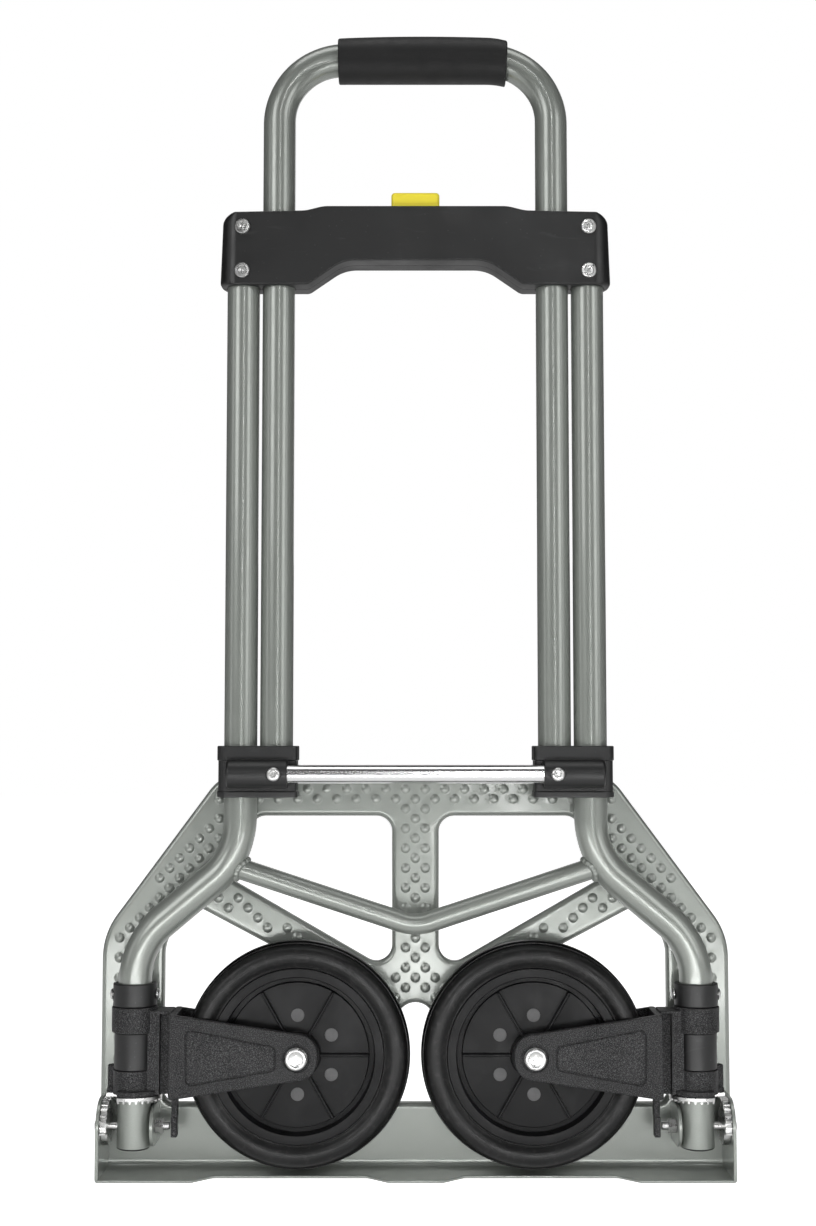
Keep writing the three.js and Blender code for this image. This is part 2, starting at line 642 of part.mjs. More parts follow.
/** The raised lip around a loop, standing back from the sheet. Negative inset grows a window's lip. */
function lip(corners, inset) {
  const loops = [roundedLoop(corners), roundedLoop(corners, inset)];
  const [outer, inner] = inset > 0 ? loops : loops.reverse();
  return prism('y', outer, PLATE.face + 1, PLATE.rimDepth, [inner]);
}

function bottomFlange() {
  const { halfWidth, face, flangeBack, flangeRelief, bottom } = PLATE;
  const outline = roundedLoop([
    [-halfWidth + 4.5, face + SHEET], [-halfWidth + 4.5, flangeBack], [-165, flangeBack, 6],
    [-150, flangeRelief, 6], [-36, flangeRelief, 6], [-20, flangeBack, 6], [20, flangeBack, 6],
    [36, flangeRelief, 6], [150, flangeRelief, 6], [165, flangeBack, 6], [halfWidth - 4.5, flangeBack],
    [halfWidth - 4.5, face + SHEET],
  ], 0, 2);
  return prism('z', outline, bottom, bottom + SHEET);
}

/** The two ears of one side, about the tube axis of the right foot. */
function ears() {
  const back = PLATE.face + 1;
  const { outerRadius, innerRadius } = EAR;
  const span = ([from, to]) => [FRAME.footX + from, FRAME.footX + to];
  const hole = ring(HINGE_BOLT.radius + GAP, 12);
  const outer = prism('x', roundedLoop([
    [-outerRadius, PLATE.bottom], [back, PLATE.bottom], [back, outerRadius],
    [-outerRadius, outerRadius, outerRadius - 0.5],
  ], 0, 8), ...span(EAR.outer), [hole]);
  const inner = prism('x', roundedLoop([
    [-innerRadius, -innerRadius, innerRadius - 0.5], [back, -innerRadius], [back, innerRadius],
    [-innerRadius, innerRadius, innerRadius - 0.5],
  ], 0, 6), ...span(EAR.inner), [hole]);
  return join(outer, inner);
}

function toePlate() {
  const windows = [upperWindow, mirrorLoop(upperWindow), outerWindow, mirrorLoop(outerWindow), centreWindow];
  const panel = prism('y', roundedLoop(plateCorners), PLATE.face, PLATE.face + SHEET,
    windows.map((corners) => roundedLoop(corners)));
  const lips = windows.map((corners) => lip(corners, -SHEET));
  const rightEars = ears();
  const leftEars = solidOf(geometryOf(rightEars, true));
  return join(panel, lip(plateCorners, SHEET), ...lips, bottomFlange(), rightEars, leftEars);
}

// ---------------------------------------------------------------- assembly

/** A pair of groups at equal distances left and right of the middle. */
function sideGroups(parent, x = 0, z = 0) {
  const groups = { left: new THREE.Group(), right: new THREE.Group() };
  groups.left.position.set(-x, 0, z);
  groups.right.position.set(x, 0, z);
  parent.add(groups.left, groups.right);
  return groups;
}

const truck = new THREE.Group();
truck.position.z = HINGE_HEIGHT;
const middle = sideGroups(truck);
const feet = sideGroups(truck, FRAME.footX);
const hubs = sideGroups(truck, WHEEL.x, WHEEL.z);

addPair(middle, 'frame_tube', 'paint', frameTube());
add(truck, 'cross_tube', 'paint', crossTube());
add(truck, 'head_rear_shell', 'plastic', headShell(-HEAD.halfDepth, -GAP / 2));
add(truck, 'head_front_shell', 'plastic', headShell(GAP / 2, HEAD.halfDepth));
HEAD.rivetHeights.forEach((height, i) => {
  const seat = HEAD.halfDepth + GAP;
  const rivet = doubleRivet(HEAD_RIVET.shank, HEAD_RIVET.head, HEAD_RIVET.dome, -seat, seat);
  addPair(sideGroups(truck, FRAME.topX, height), `head_rivet_${['lower', 'upper'][i]}`, 'zinc', rivet);
});

add(truck, 'handle_tube', 'paint', handleTube());
add(truck, 'handle_grip', 'foam', grip());
addPair(middle, 'slider_bracket', 'plastic', sliderBracket());
add(truck, 'cross_rod', 'steel', crossRod());
addPair(sideGroups(truck, HANDLE.x, ROD.z), 'slider_rivet', 'zinc', sliderRivet());

add(truck, 'release_button', 'yellow', releaseButton());
add(truck, 'button_spring', 'steel', buttonSpring());
addPair(middle, 'lock_bar', 'steel', lockBar());

addPair(feet, 'tube_end_cap', 'plastic', endCap());
addPair(feet, 'pivot_collar', 'plastic', collar());
addPair(feet, 'collar_rivet', 'zinc', collarRivet());
addPair(feet, 'pivot_sleeve', 'plastic', pipe('z', PIVOT.sleeveRadius, PIVOT.bore, ...PIVOT.sleeve));
addPair(feet, 'hinge_bolt', 'zinc', hingeBolt());
addPair(feet, 'hinge_nut', 'zinc', hingeNut());

add(truck, 'toe_plate', 'paint', toePlate());
addPair(feet, 'sector_gear', 'zinc', sectorGear());

addPair(feet, 'wheel_arm', 'plastic', wheelArm());
addPair(feet, 'arm_gear', 'zinc', crownGear());
addPair(hubs, 'axle_bolt', 'zinc', axleBolt());
addPair(hubs, 'axle_washer', 'zinc', axleWasher());
addPair(hubs, 'axle_nut', 'zinc', axleNut());
addPair(hubs, 'tyre', 'rubber', tyre());
addPair(hubs, 'wheel_rim', 'plastic', wheelRim());
addPair(hubs, 'axle_bush', 'plastic', axleBush());

export default truck;
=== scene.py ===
import json
from math import atan2, copysign, cos, pi, radians, sin, sqrt, tan, tau

import bmesh
import bpy
from mathutils import Matrix, Vector
from mathutils.geometry import delaunay_2d_cdt

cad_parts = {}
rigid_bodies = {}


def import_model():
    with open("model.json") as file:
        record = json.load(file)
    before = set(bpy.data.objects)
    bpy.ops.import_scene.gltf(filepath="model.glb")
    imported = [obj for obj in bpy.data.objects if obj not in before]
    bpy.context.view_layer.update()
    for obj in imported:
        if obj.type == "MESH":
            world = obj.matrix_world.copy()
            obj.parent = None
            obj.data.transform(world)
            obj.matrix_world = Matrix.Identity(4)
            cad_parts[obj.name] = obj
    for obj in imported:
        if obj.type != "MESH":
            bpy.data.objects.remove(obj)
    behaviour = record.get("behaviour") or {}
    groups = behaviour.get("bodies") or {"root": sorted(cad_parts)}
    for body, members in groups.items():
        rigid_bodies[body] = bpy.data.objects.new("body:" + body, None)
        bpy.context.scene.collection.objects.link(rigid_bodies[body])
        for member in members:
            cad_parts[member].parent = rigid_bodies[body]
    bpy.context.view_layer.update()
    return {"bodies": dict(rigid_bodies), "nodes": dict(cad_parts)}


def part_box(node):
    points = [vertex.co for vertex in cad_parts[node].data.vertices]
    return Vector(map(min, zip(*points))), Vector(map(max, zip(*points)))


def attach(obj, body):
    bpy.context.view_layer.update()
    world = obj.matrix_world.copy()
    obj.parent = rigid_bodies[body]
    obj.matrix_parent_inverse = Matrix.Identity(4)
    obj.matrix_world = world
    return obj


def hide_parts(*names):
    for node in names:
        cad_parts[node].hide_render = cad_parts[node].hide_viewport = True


# A folding hand truck, folded flat and standing on the bottom flange of its toe plate.
# Shapes are in millimetres: x to the truck's right seen from behind, y towards the load,
# z above the toe plate's hinge axis. piece() turns them into metres above the floor.

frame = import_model()
MM = 0.001

# ---- sizes from the frame ----

HINGE = sum(corner.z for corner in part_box("hinge_bolt_left")) / 2 / MM


def box(node):
    """Lowest and highest corner of a CAD node in millimetres, heights from the hinge axis."""
    return [corner / MM - Vector((0, 0, HINGE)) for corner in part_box(node)]


def middle(node):
    low, high = box(node)
    return (low + high) / 2


TUBE = 12.5                                   # radius of the frame and handle tubes
WALL = 1.5
FOOT_X = middle("pivot_collar_right").x       # tube axis at the foot
FRAME_X = middle("head_rivet_upper_right").x  # tube axis above the S bend
FRAME_TOP = box("frame_tube_right")[1].z
HANDLE_X = middle("slider_rivet_right").x
HANDLE_LOW, HANDLE_HIGH = box("handle_tube")
HANDLE_AXIS_TOP = HANDLE_HIGH.z - TUBE
ROD = middle("cross_rod")
AXLE = middle("tyre_right")
HEAD_LOW, HEAD_HIGH = box("head_rear_shell")
PLATE_LOW, PLATE_HIGH = box("toe_plate")

UPPER_BEND, LOWER_BEND, FRAME_BEND = 199.4, 133.9, 58
TUBE_FOOT = -15
HANDLE_BEND = 50

# ---- loops and shapes ----


def turn_between(before, after):
    """Signed angle from one 2D direction to another."""
    return atan2(before.x * after.y - before.y * after.x, before.dot(after))


def rotated(vector, angle):
    along, across = cos(angle), sin(angle)
    return Vector((vector.x * along - vector.y * across, vector.x * across + vector.y * along))


def rounded(corners, steps=8):
    """Closed outline through corners (u, v, radius), counter-clockwise, as a function of its inset."""
    points = [Vector(corner[:2]) for corner in corners]
    count = len(points)
    along = [(points[(i + 1) % count] - points[i]).normalized() for i in range(count)]

    def at(inset=0.0):
        loop = []
        for i, corner in enumerate(corners):
            radius = corner[2] if len(corner) > 2 else 0
            before, after = along[i - 1], along[i]
            turn = turn_between(before, after)
            bend = copysign(1, turn)
            half = tan(turn / 2)
            tip = points[i] - before * inset * half + Vector((-before.y, before.x)) * inset
            if radius == 0:
                loop.append(tip)
                continue
            bent = max(radius - bend * inset, 0.02)
            start = tip - before * bent * abs(half)
            centre = start + Vector((-before.y, before.x)) * bend * bent
            loop += [centre + rotated(start - centre, turn * k / steps) for k in range(steps + 1)]
        return loop

    return at


def circle(radius, sides=48, u=0.0, v=0.0, phase=0.0):
    """Circle or regular polygon about (u, v), as a function of its inset."""
    def at(inset=0.0):
        angles = [phase + tau * k / sides for k in range(sides)]
        size = radius - inset
        return [Vector((u + size * cos(a), v + size * sin(a))) for a in angles]

    return at


def mirrored_corners(half):
    """Corners of the right half from bottom to top, completed by their mirror image."""
    return half + [(-c[0], *c[1:]) for c in reversed(half) if c[0] != 0]


def flipped(corners):
    return [(-c[0], *c[1:]) for c in reversed(corners)]


AXES = {"x": (1, 2, 0), "y": (0, 2, 1), "z": (0, 1, 2)}   # where u, v and the depth go


def place(axis, loop, depth):
    """2D points set into space across one axis, at a depth along it."""
    u, v, w = AXES[axis]
    points = []
    for flat in loop:
        point = [0.0, 0.0, 0.0]
        point[u], point[v], point[w] = flat[0], flat[1], depth
        points.append(Vector(point))
    return points


def joined(*shapes):
    """One shape, a pair of points and faces, out of several."""
    points, faces = [], []
    for more_points, more_faces in shapes:
        start = len(points)
        points += more_points
        faces += [tuple(start + i for i in face) for face in more_faces]
    return points, faces


def moved(shape, offset=(0, 0, 0), matrix=None):
    points, faces = shape
    matrix = matrix or Matrix.Identity(3)
    return [matrix @ point + Vector(offset) for point in points], faces


def mirrored(shape):
    points, faces = shape
    return [Vector((-p.x, p.y, p.z)) for p in points], faces


def loft(rings, closed=False, caps=True):
    """Skin over rings of equal length. A ring of one point is a pole; closed joins the last to the first."""
    points = [point for ring in rings for point in ring]
    starts = [sum(len(ring) for ring in rings[:i]) for i in range(len(rings))]
    faces = []
    pairs = list(zip(range(len(rings)), range(1, len(rings))))
    if closed:
        pairs.append((len(rings) - 1, 0))
    for i, j in pairs:
        a, b, m, n = starts[i], starts[j], len(rings[i]), len(rings[j])
        for k in range(max(m, n)):
            following = (k + 1) % max(m, n)
            corners = [a + k % m, a + following % m, b + following % n, b + k % n]
            faces.append(tuple(dict.fromkeys(corners)))
    if caps and not closed:
        for start, ring in ((starts[0], rings[0]), (starts[-1], rings[-1])):
            if len(ring) > 2:
                faces.append(tuple(range(start, start + len(ring))))
    return points, faces


def skin(axis, outline, levels, caps=False):
    """Surface through an outline, a function of its inset, at (inset, depth) levels along an axis."""
    return loft([place(axis, outline(inset), depth) for inset, depth in levels], caps=caps)


def inside(point, loop):
    """Whether a 2D point lies within a closed line."""
    hit = False
    for a, b in zip(loop, loop[1:] + loop[:1]):
        if (a.y > point.y) != (b.y > point.y) and point.x < a.x + (point.y - a.y) * (b.x - a.x) / (b.y - a.y):
            hit = not hit
    return hit


def sheet_between(axis, depth, outer, holes=()):
    """Flat triangles between an outline and the holes in it."""
    loops = [outer, *holes]
    flat, edges, owner = [], [], []
    for number, loop in enumerate(loops):
        edges += [(len(flat) + k, len(flat) + (k + 1) % len(loop)) for k in range(len(loop))]
        flat += [Vector(point) for point in loop]
        owner += [number] * len(loop)
    points, _, faces, sources, *_ = delaunay_2d_cdt(flat, edges, [], 1, 1e-5)
    kept = []
    for face in faces:
        owners = {owner[sources[i][0]] for i in face if sources[i]}
        centre = sum((points[i] for i in face), Vector((0, 0))) / len(face)
        if len(owners) > 1 or inside(centre, loops[min(owners)]) == (owners == {0}):
            kept.append(tuple(face))
    return place(axis, points, depth), kept


def quarter(steps):
    """Angles from 0 to a right angle."""
    return [pi / 2 * k / steps for k in range(steps + 1)]


def rounding(radius, steps):
    """(inset, depth) pairs round an edge, from its face down to its side."""
    return [(radius * (1 - sin(a)), radius * (1 - cos(a))) for a in quarter(steps)]


def rolled(low, high, low_edge, high_edge, steps=4):
    """(inset, depth) pairs that round both edges of a plate."""
    levels = [(inset, low + depth) for inset, depth in rounding(low_edge, steps)]
    return levels + [(inset, high - depth) for inset, depth in reversed(rounding(high_edge, steps))]


def slab(axis, outline, low, high, holes=(), edge=0.6, far_edge=None, steps=4):
    """A plate with rounded edges: outline and holes are functions of inset."""
    far_edge = edge if far_edge is None else far_edge
    levels = rolled(low, high, edge, far_edge, steps)
    walls = [skin(axis, outline, levels)]
    walls += [skin(axis, hole, [(-inset, depth) for inset, depth in levels]) for hole in holes]
    ends = [
        sheet_between(axis, depth, outline(inset), [hole(-inset) for hole in holes])
        for inset, depth in (levels[0], levels[-1])
    ]
    return joined(*walls, *ends)


def rectangle(u, v, corner, steps=3):
    """Rounded rectangle between two spans, as a function of its inset."""
    points = [(u[0], v[0]), (u[1], v[0]), (u[1], v[1]), (u[0], v[1])]
    return rounded([(*point, corner) for point in points], steps)


def block(x, y, z, edge=0.5, axis="y"):
    """A box with rounded edges, extruded along one axis."""
    spans = [x, y, z]
    u, v, w = (spans[i] for i in AXES[axis])
    return slab(axis, rectangle(u, v, max(edge, 0.05)), *w, edge=edge * 0.98, steps=3)


def turned(axis, profile, sides=48, u=0.0, v=0.0, closed=False):
    """A turned body: (radius, position) pairs from the axis back to it, or closed on themselves."""
    rings = []
    for radius, along in profile:
        ring = circle(radius, sides, u, v)() if radius > 0 else [Vector((u, v))]
        rings.append(place(axis, ring, along))
    return loft(rings, closed=closed, caps=False)


def cylinder(axis, radius, low, high, sides=48, u=0.0, v=0.0):
    return turned(axis, [(0, low), (radius, low), (radius, high), (0, high)], sides, u, v)


def symmetric(half):
    """A profile completed by its mirror image, from its half listed from the middle out."""
    return [(radius, -along) for radius, along in reversed(half)] + half[1:]


def arc(centre, radius, start, end, steps=6):
    """Points of an arc in degrees, as (radius, position) pairs for a profile."""
    angles = [radians(start + (end - start) * k / steps) for k in range(steps + 1)]
    return [(centre[0] + radius * cos(a), centre[1] + radius * sin(a)) for a in angles]


def bushing(axis, radius, bore, low, high, edge=0.5, sides=48, u=0.0, v=0.0):
    """A short pipe with rounded edges."""
    profile = [
        (bore, low + edge), *arc((bore + edge, low + edge), edge, 180, 270, 3),
        *arc((radius - edge, low + edge), edge, 270, 360, 3),
        *arc((radius - edge, high - edge), edge, 0, 90, 3),
        *arc((bore + edge, high - edge), edge, 90, 180, 3),
    ]
    return turned(axis, profile[1:], sides, u, v, closed=True)


def boolean(operation, base, *tools):
    """Exact union or difference of closed shapes."""
    made = [solid_object(shape) for shape in (base, *tools)]
    target = made[0]
    for tool in made[1:]:
        step = target.modifiers.new("step", "BOOLEAN")
        step.operation = operation
        step.solver = "EXACT"
        step.object = tool
    mesh = bpy.data.meshes.new_from_object(target.evaluated_get(bpy.context.evaluated_depsgraph_get()))
    result = [v.co.copy() for v in mesh.vertices], [tuple(p.vertices) for p in mesh.polygons]
    for thing in made:
        bpy.data.objects.remove(thing)
    bpy.data.meshes.remove(mesh)
    return result


def union(base, *tools):
    return boolean("UNION", base, *tools)


def cut(base, *tools):
    return boolean("DIFFERENCE", base, *tools)


def cleaned(shape):
    """A bmesh of the shape with shared points merged and faces looking out."""
    points, faces = shape
    made = bmesh.new()
    vertices = [made.verts.new(point) for point in points]
    for face in faces:
        if len(set(face)) > 2:
            try:
                made.faces.new([vertices[i] for i in face])
            except ValueError:
                continue
    bmesh.ops.remove_doubles(made, verts=made.verts, dist=2e-3)
    bmesh.ops.dissolve_degenerate(made, edges=made.edges, dist=1e-3)
    bmesh.ops.recalc_face_normals(made, faces=made.faces)
    return made


def solid_object(shape):
    made = cleaned(shape)
    mesh = bpy.data.meshes.new("solid")
    made.to_mesh(mesh)
    made.free()
    thing = bpy.data.objects.new("solid", mesh)
    bpy.context.scene.collection.objects.link(thing)
    return thing


# ---- bent tubes ----


def stations_of(corners, radius, steps=16):
    """(point, direction, squeeze) along a bar in the plane y = 0, bent to one radius at each corner."""
    points = [Vector(corner) for corner in corners]
    along = [(b - a).normalized() for a, b in zip(points, points[1:])]
    stations = [(points[0], along[0], 1.0)]
    for i in range(1, len(points) - 1):
        before, after = along[i - 1], along[i]
        turn = turn_between(before, after)
        start = points[i] - before * radius * tan(abs(turn) / 2)
        centre = start + Vector((-before.y, before.x)) * copysign(radius, turn)
        for k in range(steps + 1):
            angle = turn * k / steps
            flat = 1 - 0.035 * min(1, 4 * min(k, steps - k) / steps)
            stations.append((centre + rotated(start - centre, angle), rotated(before, angle), flat))
    stations.append((points[-1], along[-1], 1.0))
    return [(Vector((p.x, 0, p.y)), Vector((d.x, 0, d.y)), s) for p, d, s in stations]


def ring_about(point, direction, radius, sides=48, squeeze=1.0, side=Vector((0, 1, 0))):
    """A round section across a path; squeeze narrows it in the plane of its bend."""
    across = (side - direction * side.dot(direction)).normalized()
    other = direction.cross(across)
    angles = [tau * k / sides for k in range(sides)]
    return [point + across * radius * cos(a) + other * radius * squeeze * sin(a) for a in angles]


def tube(stations, radius, bore, sides=48):
    """A hollow tube, closed at its two cut ends."""
    outside = [ring_about(p, d, radius, sides, s) for p, d, s in stations]
    inside = [ring_about(p, d, bore, sides, s) for p, d, s in reversed(stations)]
    return loft(outside + inside, closed=True)


def bar(stations, radius, sides=12, side=Vector((0, 1, 0))):
    return loft([ring_about(p, d, radius, sides, s, side) for p, d, s in stations])


# ---- materials ----


class Finish:
    """A node material on one Principled shader, with textures in the piece's own coordinates."""

    def __init__(self, name, colour, roughness, metallic=0.0, specular=0.5, coat=0.0, coat_roughness=0.1):
        self.material = bpy.data.materials.new(name)
        self.material.use_nodes = True
        self.tree = self.material.node_tree
        self.shader = self.tree.nodes["Principled BSDF"]
        sockets = self.shader.inputs
        sockets["Base Color"].default_value = (*colour, 1)
        sockets["Roughness"].default_value = roughness
        sockets["Metallic"].default_value = metallic
        sockets["Specular IOR Level"].default_value = specular
        sockets["Coat Weight"].default_value = coat
        sockets["Coat Roughness"].default_value = coat_roughness
        self.material.diffuse_color = (*colour, 1)
        self.colour = (*colour, 1)
        self.place = self.node("ShaderNodeTexCoord").outputs["Object"]
        self.normal = None

    def node(self, kind, **inputs):
        made = self.tree.nodes.new(kind)
        for key, value in inputs.items():
            made.inputs[key.replace("_", " ")].default_value = value
        return made

    def link(self, source, target):
        self.tree.links.new(source, target)

    def stretched(self, scale):
        """Object coordinates stretched along the axes, for streaks."""
        mapping = self.node("ShaderNodeMapping", Scale=scale)
        self.link(self.place, mapping.inputs["Vector"])
        return mapping.outputs["Vector"]

    def noise(self, scale, detail=3.0, stretch=(1, 1, 1), distortion=0.0):
        made = self.node("ShaderNodeTexNoise", Scale=scale, Detail=detail, Distortion=distortion)
        self.link(self.stretched(stretch), made.inputs["Vector"])
        return made.outputs["Fac"]

    def cells(self, scale):
        made = self.node("ShaderNodeTexVoronoi", Scale=scale)
        self.link(self.place, made.inputs["Vector"])
        return made.outputs["Distance"]

    def between(self, value, low, high, to_low, to_high):
        """A value's range low to high mapped to another range and clamped."""
        made = self.node("ShaderNodeMapRange", From_Min=low, From_Max=high, To_Min=to_low, To_Max=to_high)
        self.link(value, made.inputs["Value"])
        return made.outputs["Result"]

    def tint(self, value, low, high, share, colour):
        """Mixes a share of another colour in, from none at one value to all of it at another."""
        mask = self.between(value, low, high, 0, share)
        made = self.tree.nodes.new("ShaderNodeMix")
        made.data_type = "RGBA"
        self.link(mask, made.inputs["Factor"])
        base = self.shader.inputs["Base Color"]
        if base.is_linked:
            self.link(base.links[0].from_socket, made.inputs[6])
        else:
            made.inputs[6].default_value = self.colour
        made.inputs[7].default_value = (*colour, 1)
        self.link(made.outputs[2], base)

    def rough(self, value, low, high):
        self.link(self.between(value, 0.3, 0.7, low, high), self.shader.inputs["Roughness"])

    def bump(self, height, strength, depth):
        """Adds a bump of a depth in metres on top of the bumps so far."""
        made = self.node("ShaderNodeBump", Strength=strength, Distance=depth)
        self.link(height, made.inputs["Height"])
        if self.normal:
            self.link(self.normal, made.inputs["Normal"])
        self.normal = made.outputs["Normal"]
        self.link(self.normal, self.shader.inputs["Normal"])


def painted_steel():
    """Silver-grey powder coat with a clear gloss and a fine orange peel."""
    paint = Finish("painted_steel", (0.245, 0.262, 0.240), 0.32, metallic=0.45, specular=0.5,
                   coat=0.6, coat_roughness=0.10)
    flake = paint.noise(2600, 2)
    paint.tint(flake, 0.35, 0.75, 0.35, (0.36, 0.38, 0.36))
    paint.tint(paint.noise(9, 3), 0.45, 0.8, 0.10, (0.21, 0.225, 0.213))
    paint.rough(paint.noise(70, 4), 0.28, 0.36)
    paint.bump(paint.noise(420, 2), 0.02, 0.0002)
    return paint.material


def head_plastic():
    """Satin black moulding with light scuffs and dust in its fine texture."""
    plastic = Finish("head_plastic", (0.0060, 0.0061, 0.0063), 0.40, specular=0.52)
    scuffs = plastic.noise(90, 6, stretch=(0.35, 1, 1.5), distortion=1.2)
    plastic.tint(scuffs, 0.63, 0.80, 0.30, (0.06, 0.06, 0.062))
    plastic.tint(plastic.cells(160), 0.09, 0.03, 0.35, (0.10, 0.10, 0.10))
    plastic.rough(plastic.noise(36, 5), 0.34, 0.52)
    plastic.bump(plastic.noise(1500, 3), 0.18, 0.0002)
    return plastic.material


def arm_plastic():
    """Glass-filled black moulding: a coarse spark-eroded grain with a light speckle."""
    plastic = Finish("arm_plastic", (0.0045, 0.0045, 0.0048), 0.46, specular=0.24)
    grain = plastic.noise(1700, 4)
    plastic.tint(grain, 0.50, 0.64, 0.85, (0.105, 0.105, 0.108))
    plastic.tint(plastic.noise(45, 5), 0.5, 0.75, 0.35, (0.028, 0.028, 0.029))
    plastic.rough(plastic.noise(60, 4), 0.42, 0.60)
    plastic.bump(grain, 0.45, 0.0004)
    plastic.bump(plastic.noise(600, 2), 0.2, 0.0003)
    return plastic.material


def rim_plastic():
    """Smoother black plastic of the wheel centre, with flow marks."""
    plastic = Finish("rim_plastic", (0.0050, 0.0050, 0.0053), 0.38, specular=0.17)
    plastic.tint(plastic.noise(30, 5, distortion=0.8), 0.5, 0.8, 0.4, (0.032, 0.032, 0.033))
    plastic.rough(plastic.noise(50, 4), 0.33, 0.46)
    plastic.bump(plastic.noise(900, 3), 0.22, 0.0002)
    return plastic.material


def scuffed_plastic():
    """The ejector bosses of the wheel centre, rubbed to a lighter grey."""
    plastic = Finish("scuffed_plastic", (0.085, 0.085, 0.086), 0.5, specular=0.4)
    plastic.tint(plastic.noise(500, 5), 0.45, 0.7, 0.6, (0.10, 0.10, 0.10))
    plastic.rough(plastic.noise(300, 4), 0.4, 0.6)
    plastic.bump(plastic.noise(900, 4), 0.4, 0.0003)
    return plastic.material


def tyre_rubber():
    """Black rubber with a soft sheen and a little dust."""
    rubber = Finish("tyre_rubber", (0.0035, 0.0035, 0.0036), 0.40, specular=0.30)
    rubber.tint(rubber.noise(240, 6), 0.55, 0.8, 0.45, (0.045, 0.044, 0.043))
    rubber.tint(rubber.noise(24, 4), 0.5, 0.8, 0.3, (0.03, 0.03, 0.03))
    rubber.rough(rubber.noise(80, 5), 0.30, 0.46)
    rubber.bump(rubber.noise(800, 4), 0.3, 0.0003)
    return rubber.material


def grip_foam():
    """Closed-cell foam: very matt black, with fine pores."""
    foam = Finish("grip_foam", (0.0030, 0.0030, 0.0031), 0.50, specular=0.36)
    foam.shader.inputs["Sheen Weight"].default_value = 0.03
    foam.shader.inputs["Sheen Roughness"].default_value = 0.6
    pores = foam.cells(1300)
    foam.tint(pores, 0.25, 0.7, 0.3, (0.010, 0.010, 0.0105))
    foam.tint(foam.noise(60, 5), 0.5, 0.8, 0.3, (0.02, 0.02, 0.02))
    foam.rough(foam.noise(120, 4), 0.48, 0.62)
    foam.bump(pores, 0.22, 0.0003)
    return foam.material


def zinc_plate():
    """Bright zinc with a slightly blotchy passivation."""
    zinc = Finish("zinc_plate", (0.62, 0.62, 0.61), 0.30, metallic=1.0)
    zinc.tint(zinc.noise(180, 5), 0.45, 0.75, 0.4, (0.42, 0.43, 0.45))
    zinc.rough(zinc.noise(260, 5), 0.22, 0.38)
    zinc.bump(zinc.noise(1400, 3), 0.12, 0.0002)
    return zinc.material


def bright_rod():
    """Polished steel with fine lines drawn along its length."""
    steel = Finish("bright_rod", (0.80, 0.80, 0.80), 0.16, metallic=1.0)
    lines = steel.noise(500, 2, stretch=(0.01, 1, 1))
    steel.tint(lines, 0.45, 0.8, 0.25, (0.66, 0.67, 0.68))
    steel.rough(lines, 0.20, 0.25)
    steel.bump(steel.noise(60, 2), 0.004, 0.0001)
    return steel.material


def spring_steel():
    """Drawn wire and stamped bars inside the head, with an oily blue-grey tone."""
    steel = Finish("spring_steel", (0.42, 0.43, 0.45), 0.3, metallic=1.0)
    steel.tint(steel.noise(300, 4), 0.45, 0.75, 0.5, (0.25, 0.26, 0.29))
    steel.rough(steel.noise(400, 3), 0.24, 0.4)
    steel.bump(steel.noise(1200, 3), 0.1, 0.0002)
    return steel.material


def button_plastic():
    """Yellow moulding with a fine satin texture."""
    yellow = Finish("button_plastic", (0.95, 0.80, 0.045), 0.42, specular=0.45)
    yellow.shader.inputs["Subsurface Weight"].default_value = 0.06
    yellow.shader.inputs["Subsurface Radius"].default_value = (0.003, 0.002, 0.0005)
    yellow.tint(yellow.noise(90, 4), 0.5, 0.8, 0.3, (0.88, 0.70, 0.02))
    yellow.rough(yellow.noise(140, 4), 0.36, 0.5)
    yellow.bump(yellow.noise(1300, 3), 0.15, 0.0002)
    return yellow.material


PAINT = (painted_steel(), "painted_steel")
HEAD_BLACK = (head_plastic(), "head_plastic")
ARM_BLACK = (arm_plastic(), "arm_plastic")
RIM_BLACK = (rim_plastic(), "arm_plastic")
SCUFFED = (scuffed_plastic(), "arm_plastic")
RUBBER = (tyre_rubber(), "tyre_rubber")
FOAM = (grip_foam(), "grip_foam")
ZINC = (zinc_plate(), "zinc")
BRIGHT = (bright_rod(), "bright_rod")
SPRING = (spring_steel(), "spring_steel")
YELLOW = (button_plastic(), "button_plastic")

# ---- pieces ----


def body_of(node):
    """Name of the moving body that a CAD node belongs to."""
    parent = frame["nodes"][node].parent
    return next(name for name, body in frame["bodies"].items() if body == parent)


def piece(node, shape, finish, name=None, smooth=38):
    """A visible piece that stands for a CAD node and moves with it."""
    material, slot = finish
    made = cleaned(shape)
    for vertex in made.verts:
        vertex.co = (vertex.co + Vector((0, 0, HINGE))) * MM
    mesh = bpy.data.meshes.new(name or node)
    made.to_mesh(mesh)
    made.free()
    mesh.materials.append(material)
    mesh.shade_smooth()
    mesh.set_sharp_from_angle(angle=radians(smooth))
    thing = bpy.data.objects.new(name or f"{node}_detail", mesh)
    bpy.context.scene.collection.objects.link(thing)
    flats = thing.modifiers.new("flats", "WEIGHTED_NORMAL")
    flats.keep_sharp = True
    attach(thing, body_of(node))
    if not name:
        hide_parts(node)
    return thing


def pair(node, shape, finish, **options):
    """A right-hand piece and its mirror image."""
    piece(f"{node}_right", shape, finish, **options)
    piece(f"{node}_left", mirrored(shape), finish, **options)


# ---- frame and handle ----

